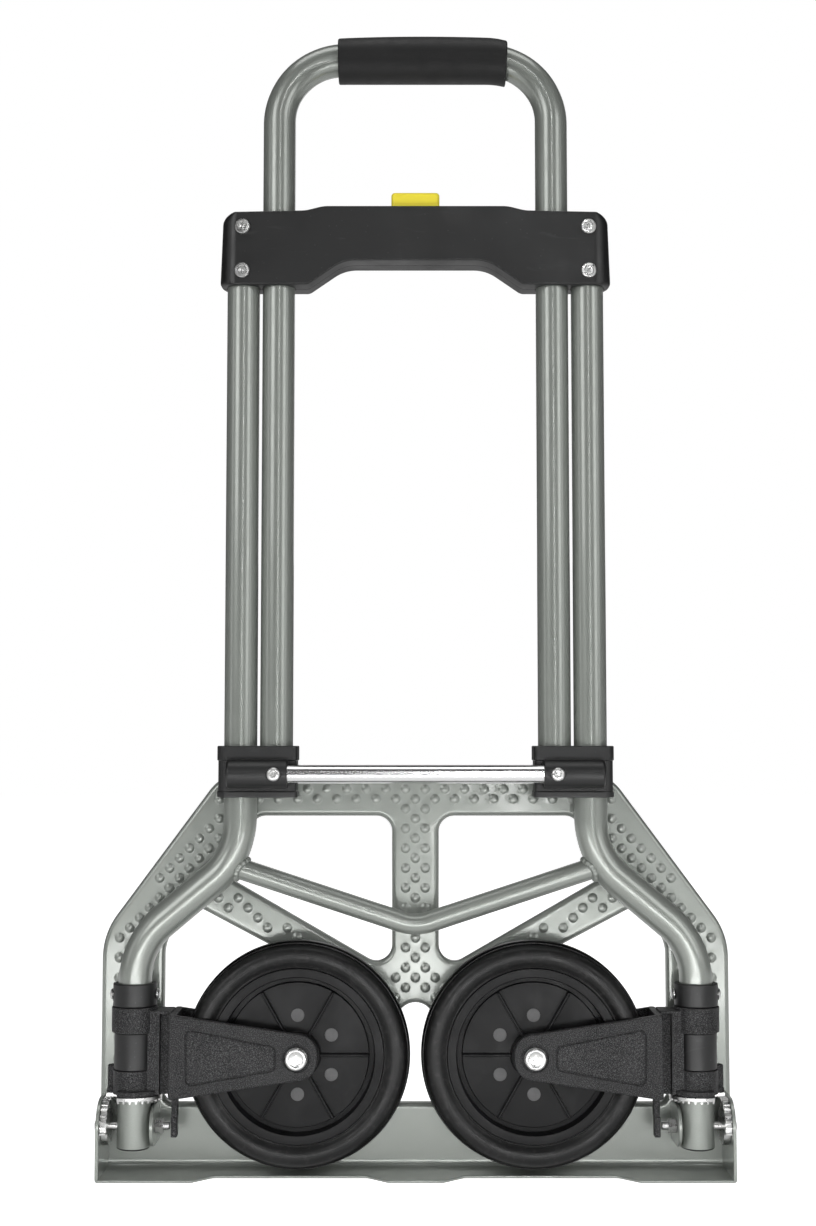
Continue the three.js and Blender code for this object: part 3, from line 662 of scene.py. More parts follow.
FRAME_PATH = stations_of(
    [(FRAME_X, FRAME_TOP), (FRAME_X, UPPER_BEND), (FOOT_X, LOWER_BEND), (FOOT_X, TUBE_FOOT)], FRAME_BEND)
HANDLE_PATH = stations_of(
    [(-HANDLE_X, HANDLE_LOW.z), (-HANDLE_X, HANDLE_AXIS_TOP), (HANDLE_X, HANDLE_AXIS_TOP),
     (HANDLE_X, HANDLE_LOW.z)], HANDLE_BEND, 24)
CROSS_RADIUS, CROSS_APEX, CROSS_SLOPE, CROSS_BEND = 8, 147, 0.327, 35
CROSS_END = 140                      # inside the frame tube, whose axis is at 144 there


def distance_to_path(point, stations):
    """Shortest distance from a point to a tube's centre line."""
    best = 1e9
    for (a, _, _), (b, _, _) in zip(stations, stations[1:]):
        along = b - a
        share = min(1, max(0, (point - a).dot(along) / along.length_squared))
        best = min(best, (point - a - along * share).length)
    return best


def weld_bead():
    """The fillet of weld round the end of the cross tube, laid where the two tubes meet."""
    direction = Vector((1, 0, CROSS_SLOPE)).normalized()
    across = Vector((0, 1, 0))
    other = direction.cross(across)
    start = Vector((0, 0, CROSS_APEX))
    sides, radius, ripple, ripples = 120, 2.4, 0.09, 16
    seam = []
    for k in range(sides):
        angle = tau * k / sides
        line = start + (across * cos(angle) + other * sin(angle)) * CROSS_RADIUS
        reach = FRAME_X * 0.7
        while distance_to_path(line + direction * reach, FRAME_PATH) > TUBE:
            reach += 0.25
        seam.append(line + direction * reach)
    rings = []
    for k, point in enumerate(seam):
        along = (seam[(k + 1) % sides] - seam[k - 1]).normalized()
        size = radius * (1 + ripple * sin(tau * ripples * k / sides))
        rings.append(ring_about(point, along, size, 14, side=direction))
    return loft(rings, closed=True)


def make_frame():
    pair("frame_tube", tube(FRAME_PATH, TUBE, TUBE - WALL), PAINT)
    end = (CROSS_END, CROSS_APEX + CROSS_SLOPE * CROSS_END)
    path = stations_of([(-end[0], end[1]), (0, CROSS_APEX), end], CROSS_BEND, 10)
    piece("cross_tube", tube(path, CROSS_RADIUS, CROSS_RADIUS - WALL, 40), PAINT)
    bead = weld_bead()
    piece("cross_tube", bead, PAINT, name="weld_bead_right", smooth=60)
    piece("cross_tube", mirrored(bead), PAINT, name="weld_bead_left", smooth=60)


def make_grip():
    """Foam sleeve: crowned along its top, its ends following the start of the handle's bends."""
    low, high = box("handle_grip")
    radius, bore, edge, crown = (high.y - low.y) / 2, TUBE + 0.1, 1.3, 1.6
    steps, sides, lean, follow = 40, 56, 0.35, 0.8
    bend_start = HANDLE_X - HANDLE_BEND

    def section(x, size, lowered=crown):
        past = max(0, abs(x) - bend_start)
        drop = HANDLE_BEND - sqrt(HANDLE_BEND ** 2 - past ** 2)
        share = 2 * (x - low.x) / (high.x - low.x) - 1
        tilt = copysign(past / HANDLE_BEND * lean, x)
        ring = []
        for k in range(sides):
            angle = tau * k / sides
            up = size * cos(angle)
            up -= lowered * share ** 2 * max(0, cos(angle))
            height = HANDLE_AXIS_TOP - drop * follow + up
            ring.append(Vector((x + up * tilt * 0.4, size * sin(angle), height)))
        return ring

    xs = [low.x + (high.x - low.x) * k / steps for k in range(steps + 1)]
    ends = rounding(edge, 4)
    outside = [section(low.x + depth, radius - inset) for inset, depth in ends]
    outside += [section(x, radius) for x in xs[2:-2]]
    outside += [section(high.x - depth, radius - inset) for inset, depth in reversed(ends)]
    inside = [section(x, bore, 0) for x in (high.x, (low.x + high.x) / 2, low.x)]
    grip = piece("handle_grip", loft(outside + inside, closed=True), FOAM, smooth=50)


def make_handle():
    piece("handle_tube", tube(HANDLE_PATH, TUBE, TUBE - WALL), PAINT)
    make_grip()
    low, high = box("cross_rod")
    radius = (high.z - low.z) / 2
    piece("cross_rod", bushing("x", radius, radius - WALL, low.x, high.x, 0.5, 48, ROD.y, ROD.z), BRIGHT)


# ---- head casing ----

ARCH_TOP = 652.7
HEAD_OUTLINE = rounded(mirrored_corners([
    (0, ARCH_TOP), (55, ARCH_TOP, 30), (82, HEAD_LOW.z, 8), (HEAD_HIGH.x, HEAD_LOW.z, 4),
    (148.3, 690.5, 8), (84, 691.8, 30), (70.5, HEAD_HIGH.z, 30), (0, HEAD_HIGH.z),
]))
HEAD_DEPTH = abs(HEAD_LOW.y)
HEAD_END_RADIUS, HEAD_EDGE = 14, 1.6
CHANNEL = TUBE + 0.4
BUTTON_LOW, BUTTON_HIGH = box("release_button")


def head_ring(depth):
    """The casing's outline at a distance from its middle plane, drawn in round its ends and edges."""
    start = HEAD_HIGH.x - HEAD_END_RADIUS
    past = max(0, depth - (HEAD_DEPTH - HEAD_END_RADIUS))
    reach = max(sqrt(HEAD_END_RADIUS ** 2 - past ** 2), 0.4) / HEAD_END_RADIUS
    edge = max(0, depth - (HEAD_DEPTH - HEAD_EDGE))
    inset = HEAD_EDGE - sqrt(HEAD_EDGE ** 2 - edge ** 2) if edge else 0
    if depth < 0.3:
        inset = 0.35
    return [
        Vector((copysign(start + (abs(p.x) - start) * reach, p.x) if abs(p.x) > start else p.x, p.y))
        for p in HEAD_OUTLINE(inset)
    ]


def head_shell(side):
    """One half of the casing; side is -1 for the rear half, at negative y."""
    parting, lowest, above = 0.15, 600, 760
    depths = [parting, 0.45, 2, 5, 8, 10.5, 12.5, 13.6, 14.4, 14.9, 15.3, 15.65, 15.88, HEAD_DEPTH]
    solid = loft([place("y", head_ring(depth), side * depth) for depth in depths])
    channels = [
        cylinder("z", CHANNEL, lowest, top, u=sign * x)
        for sign in (-1, 1) for x, top in ((FRAME_X, FRAME_TOP + 0.3), (HANDLE_X, above))
    ]
    spring_pocket = block((-23, 23), (-13.5, 13.5), (655.5, 691.5), 0.3)
    button_mouth = block((BUTTON_LOW.x + 2.6, BUTTON_HIGH.x - 2.6), (-11.4, 11.4), (690, 700), 0.3)
    lock_slot = block((-HANDLE_X, HANDLE_X), (-2, 2), (672.5, 679.5), 0.1)
    return cut(solid, *channels, spring_pocket, button_mouth, lock_slot)


def rivet_profile(seat):
    """Half of a hollow riveted pin, from its middle out: ring head, recess and centre pin."""
    return [
        (2.4, 0), (2.4, seat), (5.7, seat), (5.9, seat + 0.5), (5.75, seat + 1.2), (5.3, seat + 1.65),
        (3.7, seat + 1.75), (3.3, seat + 1.4), (3.0, seat + 0.5), (1.9, seat + 0.45), (1.75, seat + 1.1),
        (1.3, seat + 1.3), (0, seat + 1.3),
    ]


def make_head():
    piece("head_rear_shell", head_shell(-1), HEAD_BLACK, smooth=32)
    piece("head_front_shell", head_shell(1), HEAD_BLACK, smooth=32)
    profile = symmetric(rivet_profile(HEAD_DEPTH + 0.05))
    for level in ("lower", "upper"):
        height = middle(f"head_rivet_{level}_right").z
        pair(f"head_rivet_{level}", turned("y", profile, 40, FRAME_X, height), ZINC)


def peg_slot(side, height, travel):
    """Slanted slot that draws the peg of one lock bar in as the button goes down."""
    peg, half_width, corner = 13, 1.9, 1.8
    start, end = Vector((side * peg, height)), Vector((side * (peg - travel), height + travel))
    along = (end - start).normalized() * half_width
    across = Vector((-along.y, along.x)) * side
    corners = [start - along - across, start - along + across, end + along + across, end + along - across]
    if side > 0:
        corners.reverse()
    return slab("y", rounded([(c.x, c.y, corner) for c in corners], 4), -10, 10, edge=0.05)


def make_button():
    """Button cap with softly crowned edges, its flange and the slit stem that draws the lock bars."""
    half_width, half_depth, top = BUTTON_HIGH.x - 3, 11, BUTTON_HIGH.z
    flange_bottom, flange_top, crown = 687.7, 691, 3
    outline = rectangle((-half_width, half_width), (-half_depth, half_depth), 3, 8)
    dome = [(0, flange_top - 1), (0, top - crown)]
    dome += [(2.8 * (1 - cos(a)), top - crown + 2.6 * sin(a)) for a in quarter(6)[1:]]
    cap = skin("z", outline, dome + [(6, top - 0.1), (9, top)], caps=True)
    flange = block((BUTTON_LOW.x, BUTTON_HIGH.x), (-12.5, 12.5), (flange_bottom, flange_top), 0.5, "z")
    stem = block((-half_width, half_width), (-5, 5), (BUTTON_LOW.z, flange_bottom + 1), 0.5)
    lock_height, travel, gap = middle("lock_bar_right").z, 6, 3.4
    slit = block((-30, 30), (-1.9, 1.9), (lock_height - gap, lock_height + gap + travel), 0.1)
    slots = [peg_slot(side, lock_height, travel) for side in (-1, 1)]
    piece("release_button", union(cut(stem, slit, *slots), flange, cap), YELLOW, smooth=40)


def make_spring():
    low, high = box("button_spring")
    wire, turns, steps = 0.8, 3, 150
    radius = (high.y - low.y) / 2 - wire
    rise = high.z - low.z - 2 * wire
    stations = []
    for k in range(steps + 1):
        angle = tau * turns * k / steps
        x, y = radius * cos(angle), radius * sin(angle)
        direction = Vector((-y, x, rise / (tau * turns)))
        stations.append((Vector((x, y, low.z + wire + rise * k / steps)), direction.normalized(), 1.0))
    piece("button_spring", bar(stations, wire, 12, Vector((0, 0, 1))), SPRING)


# ---- slider brackets ----


def slider_bracket():
    """Bracket that slides on the frame tube and carries the handle tube and the end of the cross rod."""
    low, high = box("slider_bracket_right")
    front, boss_inner, boss_outer, boss, waist = -17, 95.5, 141, 10.5, 0.8
    body = rounded([(low.x, front, 3), (high.x, front, 7), (high.x, high.y, 8), (low.x, high.y, 8)])
    levels = [
        (0.8, low.z), (0.25, low.z + 0.25), (0, low.z + 0.8), (0, low.z + 4), (waist, low.z + 4.7),
        (waist, high.z - 11.2), (0, high.z - 10.5), (0, high.z - 0.8), (0.25, high.z - 0.25), (0.8, high.z),
    ]
    solid = skin("z", body, levels, caps=True)
    nose = rounded([
        (ROD.y - boss, ROD.z + boss, boss - 0.05), (ROD.y - boss, ROD.z - boss, boss - 0.05),
        (front + 4, ROD.z - boss), (front + 4, ROD.z + boss),
    ], 12)
    solid = union(solid, slab("x", nose, boss_inner, boss_outer, edge=0.7, far_edge=2.4, steps=6))
    rod_end = box("cross_rod")[1]
    above, below, seat = high.z + 5, low.z - 5, ROD.y - boss + 0.75
    return cut(
        solid,
        cylinder("z", CHANNEL, below, above, u=FRAME_X),
        cylinder("z", CHANNEL, HANDLE_LOW.z - 0.3, above, u=HANDLE_X),
        cylinder("x", rod_end.z - ROD.z + 0.25, low.x - 5, rod_end.x + 0.3, u=ROD.y, v=ROD.z),
        block((low.x - 5, boss_inner), (front - 5, -10), (ROD.z - 7.6, ROD.z + 7.6), 0.2),
        cylinder("y", 6.2, -40, seat, 40, HANDLE_X, ROD.z),
    )


def slider_rivet():
    front, back = ROD.y - 10.5 + 0.7, 16.1
    return turned("y", [
        (0, front - 0.5), (1.5, front - 0.5), (1.6, front - 1.5), (2.0, front - 1.95), (3.0, front - 2.1),
        (4.2, front - 1.8), (4.9, front - 1.1), (5.1, front - 0.4), (5.1, front), (2.4, front), (2.4, back),
        (4.7, back), (4.7, back + 1), (3.9, back + 1.8), (1.8, back + 2.1), (0, back + 2.1),
    ], 40, HANDLE_X, ROD.z)


def make_sliders():
    pair("slider_bracket", slider_bracket(), HEAD_BLACK, smooth=32)
    pair("slider_rivet", slider_rivet(), ZINC)


# ---- feet ----


def ring_node(node, bore, edge, finish):
    """A plain ring round the lower tube, as wide and high as its CAD node."""
    low, high = box(f"{node}_right")
    radius = (high.y - low.y) / 2
    pair(node, bushing("z", radius, bore, low.z, high.z, edge, 64, FOOT_X, 0), finish)


def collar_rivet():
    """Domed rivet through collar and tube, along x."""
    low, high = box("collar_rivet_right")
    seat, tip = 16.7, (high.x - low.x) / 2
    head, shank = 4.2, 2.2
    dome = [(head * cos(a), seat + (tip - seat) * sin(a)) for a in quarter(6)[:-1]]
    profile = symmetric([(shank, 0), (shank, seat), *dome, (0, tip)])
    return moved(turned("x", profile, 32, 0, middle("collar_rivet_right").z), (FOOT_X, 0, 0))


def end_cap():
    low, high = box("tube_end_cap_right")
    return turned("z", [
        (0, low.z), (6, low.z + 0.05), (10, low.z + 0.35), (11.8, low.z + 0.9), (TUBE, low.z + 1.6),
        (TUBE, TUBE_FOOT - 0.1), (10.7, TUBE_FOOT - 0.1), (10.6, high.z - 1), (9.6, high.z), (0, high.z),
    ], 48, FOOT_X, 0)


GEAR_TEETH, GEAR_ROOT, GEAR_TIP = 28, 18.8, 20.8
PITCH = tau / GEAR_TEETH
FRONT_QUARTER = block((10, 30), (-30, 1), (10, 30), 0.1)   # where the crown gear has no teeth


def sector_gear():
    """Flat gear beside the outer ear, with teeth only on the quarter that meets the crown gear."""
    low, high = box("sector_gear_right")
    half, first, last, hub, steps, top = 0.035, -1, 7, 14, 40, pi / 2
    right_flank = [(GEAR_TIP, 0.6), (GEAR_TIP - 0.4, 1.1), (GEAR_ROOT, 1.5)]
    flanks = [(radius, -angle) for radius, angle in reversed(right_flank)] + right_flank
    places = []
    for tooth in range(first, last + 1):
        at = top + (tooth + 0.5) * PITCH
        places += [(radius, at + angle * half) for radius, angle in flanks]
    start, end = top + (last + 1) * PITCH, top + first * PITCH + tau
    places += [(hub, start + (end - start) * k / steps) for k in range(steps + 1)]
    loop = [(radius * cos(angle), radius * sin(angle), 0) for radius, angle in places]
    return slab("x", rounded(loop), low.x, high.x, [circle(3.3, 32)], edge=0.25, steps=2)


def crown_gear():
    """Ring under the lower knuckle with teeth that point down, from inboard round the back."""
    low, high = box("arm_gear_right")
    radius, inner, ring_bottom = (high.y - low.y) / 2, 16.5, 21.2
    body = bushing("z", radius, TUBE + 0.5, ring_bottom, high.z, 0.3, 84)
    half, first, last = 0.7 / GEAR_TIP, -14, 2
    blades = []
    for tooth in range(first, last + 1):
        at = tooth * PITCH
        rows = []
        for z, share in ((low.z, 0.62), (low.z + 0.5, 1.0), (ring_bottom + 0.5, 1.25)):
            corners = ((inner, -1), (radius - 0.1, -1), (radius - 0.1, 1), (inner, 1))
            turns = [(reach, at + side * half * share) for reach, side in corners]
            rows.append([Vector((reach * cos(a), reach * sin(a), z)) for reach, a in turns])
        blades.append(loft(rows))
    return moved(cut(union(body, *blades), FRONT_QUARTER), (FOOT_X, 0, 0))


def hinge_bolt():
    """Round-headed bolt: crowned head outboard of the outer ear, plain shank across the foot."""
    low, high = box("hinge_bolt_right")
    head, seat = 5.6, high.x - 3.9
    crown = [(head * cos(a), seat + 1.2 + 2.6 * sin(a)) for a in quarter(6)[:-1]]
    return turned("x", [
        (0, low.x), (2.5, low.x), (3, low.x + 0.6), (3, seat), (head - 0.1, seat), (head, seat + 0.3), *crown,
        (0, high.x - 0.1),
    ], 40)


def hex_nut(axis, radius, bore, low, high, u, v):
    """Hexagon nut whose corners, at a radius, are turned off at both faces."""
    nut = slab(axis, circle(radius, 6, u, v), low, high, [circle(bore, 32, u, v)], edge=0.15, steps=1)
    flat, past = radius * cos(pi / 6), radius + 0.3
    trim = turned(axis, [
        (0, low - 1), (flat - 0.6, low - 1), (flat + 0.2, low), (past, low + 0.9),
        (past, high - 0.9), (flat + 0.2, high), (flat - 0.6, high + 1), (0, high + 1),
    ], 48, u, v)
    return boolean("INTERSECT", nut, trim)


def make_feet():
    ring_node("pivot_collar", TUBE + 0.4, 0.9, HEAD_BLACK)
    ring_node("pivot_sleeve", TUBE + 0.4, 0.5, HEAD_BLACK)
    pair("collar_rivet", collar_rivet(), ZINC)
    pair("tube_end_cap", end_cap(), HEAD_BLACK)
    pair("hinge_bolt", hinge_bolt(), ZINC)
    low, high = box("hinge_nut_right")
    pair("hinge_nut", hex_nut("x", 5.8, 3.2, low.x, high.x, 0, 0), ZINC)
    pair("sector_gear", sector_gear(), ZINC, smooth=25)
    pair("arm_gear", crown_gear(), ZINC, smooth=25)


# ---- wheel arms ----

REACH = FOOT_X - AXLE.x
ARM_FACE = 23                       # half thickness of the fork
CHEEK = 4.5
SLEEVE = 15.7                       # outside radius of the sleeve between the knuckles
AXLE_BORE = 4.2
KNUCKLE_LOW, KNUCKLE_HIGH = (24.1, 42.1), (69.5, 88.4)
TIP = -REACH - 15.5
CHEEK_CORNERS = [(TIP, 68.6, 14.5), (TIP, 38.9, 14.5), (-28, 22.5, 2.5), (-28, 85, 2.5)]


def near_cheek():
    """The cheek seen from behind: rounded rim, a groove round a raised panel, a sunk seat for the axle."""
    outline = rounded(CHEEK_CORNERS, 14)
    panel = rounded([(-41.4, 33.2, 4), (-41.0, 74.0, 4), (-106.4, 61.4, 3.5), (-106.4, 44.8, 3.5)], 6)
    seat = circle(9.9, 48, -REACH, AXLE.z)
    face = -ARM_FACE
    rim = rolled(face, face + CHEEK, 1.3, 0.4)
    groove = [(-0.95, 0), (-0.75, 0.25), (-0.5, 0.7), (0, 0.7), (0.2, 0.2), (0.75, -0.25), (1.5, -0.4)]
    sink = [(-0.6, 0), (-0.15, 0.2), (0, 0.6), (0, 1.4)]
    return joined(
        skin("y", outline, rim),
        skin("y", panel, [(inset, face + depth) for inset, depth in groove]),
        skin("y", seat, [(inset, face + depth) for inset, depth in sink]),
        sheet_between("y", face, outline(rim[0][0]), [panel(groove[0][0]), seat(sink[0][0])]),
        sheet_between("y", face + groove[-1][1], panel(groove[-1][0])),
        sheet_between("y", face + sink[-1][1], seat(0)),
        sheet_between("y", face + CHEEK, outline(rim[-1][0])),
    )


def knuckle(span, radius):
    """A ring of the arm round the tube, with softened edges."""
    low, high = span
    return turned("z", [
        (0, low), (radius - 0.8, low), (radius - 0.2, low + 0.25), (radius, low + 0.8),
        (radius, high - 0.8), (radius - 0.2, high - 0.25), (radius - 0.8, high), (0, high),
    ], 64)


def fork():
    """The two cheeks, the wall that joins them and the bosses inside them round the axle."""
    near, far = -33.5, -28
    side = ARM_FACE - 0.1
    outline = rounded([(near, -side, 3), (far, -side, 2.5), (far, side, 2.5), (near, side, 3)], 5)
    bosses = [
        cylinder("y", 13, start, end, u=-REACH, v=AXLE.z)
        for start, end in ((-ARM_FACE + 2, -14), (14, ARM_FACE - 0.4))
    ]
    return union(
        near_cheek(),
        slab("y", rounded(CHEEK_CORNERS, 14), ARM_FACE - CHEEK, ARM_FACE, edge=0.4, far_edge=1.3),
        slab("z", outline, KNUCKLE_LOW[0], 84.5, edge=0.6),
        *bosses,
    )


def stop_lug():
    """The tongue below the arm's inboard side, stepped where it leaves the wall."""
    return union(
        block((-33, -28.4), (-4, 4), (7, 26), 0.7),
        block((-32.6, -28), (-4.4, 4.4), (-8, 7.2), 0.9),
    )


def wheel_arm():
    """Forked arm: knuckles on the tube, a stepped web, a U-shaped fork and a stop lug below."""
    web = block((-29, -5), (-11, 11), (24.3, 86), 0.8)
    recesses = [block((-28, -20), span, (20, 84.0), 0.6) for span in ((-15, -5.5), (5.5, 15))]
    seat = cut(knuckle((24.1, 28.1), 20.5), FRONT_QUARTER)
    boss_corners = [(-4, 3, 2), (20.6, 3, 2), (20.6, 9, 3), (6, 17, 4), (-4, 17, 2)]
    boss = slab("z", rounded(boss_corners, 5), 24.2, 44, edge=0.8)
    rings = [knuckle(KNUCKLE_LOW, SLEEVE), knuckle(KNUCKLE_HIGH, 17)]
    solid = union(fork(), cut(web, *recesses), *rings, seat, boss, stop_lug())
    return moved(cut(
        solid,
        cylinder("z", TUBE + 0.5, 0, 120, 64),
        cylinder("z", SLEEVE, KNUCKLE_LOW[1], KNUCKLE_HIGH[0], 64),
        cylinder("y", AXLE_BORE + 0.1, -40, 40, 32, -REACH, AXLE.z),
        cylinder("y", 8.1, 16.7, 40, 40, -REACH, AXLE.z),
    ), (FOOT_X, 0, 0))


def axle_bolt():
    """Wide-headed axle screw: a bright raised ring round a sunk cross recess."""
    low, high = box("axle_bolt_right")
    head, seat, shank = 8, low.y + 4.5, 4
    front = seat - 3
    solid = turned("y", [
        (0, front + 0.9), (4.6, front + 0.75), (5.4, front + 0.25), (6.0, front), (6.9, front),
        (7.6, front + 0.4), (head, front + 1.2), (head, seat), (shank, seat),
        (shank, high.y - 0.5), (shank - 0.5, high.y), (0, high.y),
    ], 56, AXLE.x, AXLE.z)
    recess = []
    for a, b in ((3.1, 0.75), (0.75, 3.1)):
        bar_outline = rectangle((AXLE.x - a, AXLE.x + a), (AXLE.z - b, AXLE.z + b), 0.4)
        recess.append(slab("y", bar_outline, front - 2, front + 2.2, edge=0.1, steps=1))
    return cut(solid, *recess)


def make_arms():
    pair("wheel_arm", wheel_arm(), ARM_BLACK, smooth=30)
    pair("axle_bolt", axle_bolt(), ZINC)
    low, high = box("axle_washer_right")
    radius = (high.x - low.x) / 2 - 0.8
    pair("axle_washer", bushing("y", radius, AXLE_BORE, low.y, high.y, 0.3, 56, AXLE.x, AXLE.z), ZINC)
    low, high = box("axle_nut_right")
    pair("axle_nut", hex_nut("y", 7.5, AXLE_BORE, low.y, high.y, AXLE.x, AXLE.z), ZINC)


# ---- wheels ----

TYRE_LOW, TYRE_HIGH = box("tyre_right")
TYRE_RADIUS = (TYRE_HIGH.x - TYRE_LOW.x) / 2
TYRE_HALF = (TYRE_HIGH.y - TYRE_LOW.y) / 2
RIM_OUTER, RIM_INNER, RIM_HALF = 64.6, 57.6, 14
WEB_HALF, GROOVE_INNER, HUB_RADIUS, HUB_HALF = 5.2, 53.4, 17, 13.4
BOSS_CIRCLE = 29


def mirrored_profile(half):
    """A closed profile from its half at negative positions, listed from the bore outwards."""
    return half + [(radius, -along) for radius, along in reversed(half)]


def squared(share):
    """A sine or cosine pushed outwards, which makes a round shoulder a little square."""
    return copysign(abs(share) ** 0.82, share)


def tyre():
    """Round-shouldered tyre with a bead lip at the rim and a thin moulding rib near the tread."""
    bead, centre = RIM_OUTER + 0.02, 73.5
    lip = [(0, -12.2), (0.25, -12.9), (0.9, -13.1), (1.5, -12.8), (2.2, -13.2)]
    half = [(bead + out, along) for out, along in lip]
    shoulder = TYRE_RADIUS - 1.0 - centre
    for k in range(27):
        angle = radians(-128 + 124 * k / 26)
        along = TYRE_HALF * squared(sin(angle))
        out = centre + shoulder * squared(cos(angle))
        if out > bead + 2.6:
            half.append((out, along))
    rib = TYRE_RADIUS - 2.2
    place_of_rib = next(i for i, (radius, _) in enumerate(half) if radius > rib)
    radius, along = half[place_of_rib]
    half[place_of_rib:place_of_rib + 1] = [
        (radius - 0.3, along - 0.15), (radius + 0.15, along - 0.65),
        (radius + 0.75, along - 0.55), (radius + 0.7, along + 0.5),
    ]
    half += [(TYRE_RADIUS - 0.45, -4.2), (TYRE_RADIUS, -3.6), (TYRE_RADIUS, -0.6)]
    return turned("y", mirrored_profile(half), 128, AXLE.x, AXLE.z, closed=True)


def rim_body():
    """Flat outer ring, a deep groove, the sunk web and the hub."""
    bore = 7.3
    half = [
        (bore, -HUB_HALF + 0.4), (bore + 0.4, -HUB_HALF), (HUB_RADIUS - 0.6, -HUB_HALF),
        (HUB_RADIUS, -HUB_HALF + 0.6), (HUB_RADIUS, -WEB_HALF - 0.8), (HUB_RADIUS + 0.8, -WEB_HALF),
        (GROOVE_INNER - 0.5, -WEB_HALF), (GROOVE_INNER, -WEB_HALF + 0.5), (GROOVE_INNER + 0.2, -2.2),
        (RIM_INNER - 0.6, -2.2), (RIM_INNER - 0.1, -RIM_HALF + 1.3), (RIM_INNER + 0.3, -RIM_HALF + 0.4),
        (RIM_INNER + 0.9, -RIM_HALF + 0.1), (RIM_OUTER - 0.9, -RIM_HALF), (RIM_OUTER - 0.3, -RIM_HALF + 0.25),
        (RIM_OUTER, -RIM_HALF + 0.9),
    ]
    return turned("y", mirrored_profile(half), 128, closed=True)


def rim_rib(angle):
    """A thin rib from the hub to the groove, standing proud of both faces of the web."""
    proud, half_width = 10.2, 1.1
    span = (HUB_RADIUS - 1.5, GROOVE_INNER - 0.1)
    rib = block(span, (-proud, proud), (-half_width, half_width), 0.9, "x")
    return moved(rib, matrix=Matrix.Rotation(angle, 3, "Y"))


def rim_boss(angle):
    """A round ejector boss between two ribs, hardly proud of the web."""
    proud = WEB_HALF + 0.45
    half = [(5.1, WEB_HALF - 0.8), (4.9, proud - 0.25), (4.2, proud), (0, proud + 0.1)]
    profile = [(radius, -along) for radius, along in reversed(half)] + half
    disc = turned("y", profile, 32, BOSS_CIRCLE)
    return moved(disc, matrix=Matrix.Rotation(angle, 3, "Y"))


def wheel_rim():
    sixth = tau / 6
    solid = union(rim_body(), *[rim_rib(k * sixth) for k in range(6)])
    bosses = joined(*[rim_boss((k + 0.5) * sixth) for k in range(6)])
    return moved(solid, (AXLE.x, 0, AXLE.z)), moved(bosses, (AXLE.x, 0, AXLE.z))


def make_wheels():
    pair("tyre", tyre(), RUBBER, smooth=40)
    rim, bosses = wheel_rim()
    pair("wheel_rim", rim, RIM_BLACK, smooth=30)
    piece("wheel_rim_right", bosses, SCUFFED, name="ejector_bosses_right", smooth=30)
    piece("wheel_rim_left", mirrored(bosses), SCUFFED, name="ejector_bosses_left", smooth=30)
    low, high = box("axle_bush_right")
    pair("axle_bush", bushing("y", 7, AXLE_BORE, low.y, high.y, 0.3, 40, AXLE.x, AXLE.z), RIM_BLACK)


# ---- toe plate ----

FACE, SHEET = 25, 2
SKIRT = PLATE_HIGH.y                 # how far back the rolled edges reach
ROLL, INNER_ROLL = 4.0, 2.0          # outside and inside radius of the rolled edges
PLATE_CORNERS = mirrored_corners([
    (PLATE_HIGH.x, PLATE_LOW.z), (PLATE_HIGH.x, 138.5, 55), (148.6, PLATE_HIGH.z, 34),
])
UPPER_WINDOW = [(18, 109.4, 12), (152.4, 186.3, 10), (121.1, 228.6, 12), (18, 228.6, 12)]
OUTER_WINDOW = [(114.8, 11.5, 8), (192, 11.5, 8), (192, 132.9, 30), (171, 161.2, 8), (35.7, 90.2, 14)]
CENTRE_WINDOW = [(-80.8, 11.5, 8), (80.8, 11.5, 8), (0, 92.3, 14)]
WINDOWS = [UPPER_WINDOW, flipped(UPPER_WINDOW), OUTER_WINDOW, flipped(OUTER_WINDOW), CENTRE_WINDOW]
DIMPLE = [(4.15, 0.0), (3.75, 0.10), (3.3, 0.36), (2.7, 0.74), (1.9, 1.06), (1.0, 1.24)]
DIMPLE_TOP = 1.3
DIMPLE_ROW, DIMPLE_LOWEST = 7.55, 14


def distance_to_loop(point, loop):
    """Shortest distance from a 2D point to a closed line."""
    best = 1e9
    for a, b in zip(loop, loop[1:] + loop[:1]):
        along = b - a
        share = min(1, max(0, (point - a).dot(along) / max(along.length_squared, 1e-9)))
        best = min(best, (point - a - along * share).length)
    return best


def dimple_places():
    """Staggered grid of dimples, kept off the edges, the windows and the smooth bottom panel."""
    outline = rounded(PLATE_CORNERS, 6)()
    windows = [rounded(corners, 5)() for corners in WINDOWS]
    places = []
    for row in range(int(DIMPLE_LOWEST / DIMPLE_ROW), int(PLATE_HIGH.z / DIMPLE_ROW) + 1):
        for column in range(-17, 18):
            spot = Vector((column * 2 * DIMPLE_ROW + (row % 2) * DIMPLE_ROW, row * DIMPLE_ROW))
            if spot.y < DIMPLE_LOWEST or not inside(spot, outline) or distance_to_loop(spot, outline) < 9.2:
                continue
            if all(not inside(spot, w) and distance_to_loop(spot, w) > 8.4 for w in windows):
                places.append(spot)
    return places


def plate_side(face, roll, spots, height):
    """One side of the sheet: flat between the rolled edges, with its dimples pressed to negative y."""
    outline = rounded(PLATE_CORNERS, 14)(roll)
    holes = [rounded(corners, 10)(-roll) for corners in WINDOWS]
    sides = 14
    domes = []
    for spot in spots:
        rings = [
            place("y", circle(radius, sides, spot.x, spot.y)(), face - rise * height)
            for radius, rise in DIMPLE
        ]
        rings.append([Vector((spot.x, face - DIMPLE_TOP * height, spot.y))])
        domes.append(loft(rings, caps=False))
        holes.append(circle(DIMPLE[0][0], sides, spot.x, spot.y)())
    return joined(sheet_between("y", face, outline, holes), *domes)


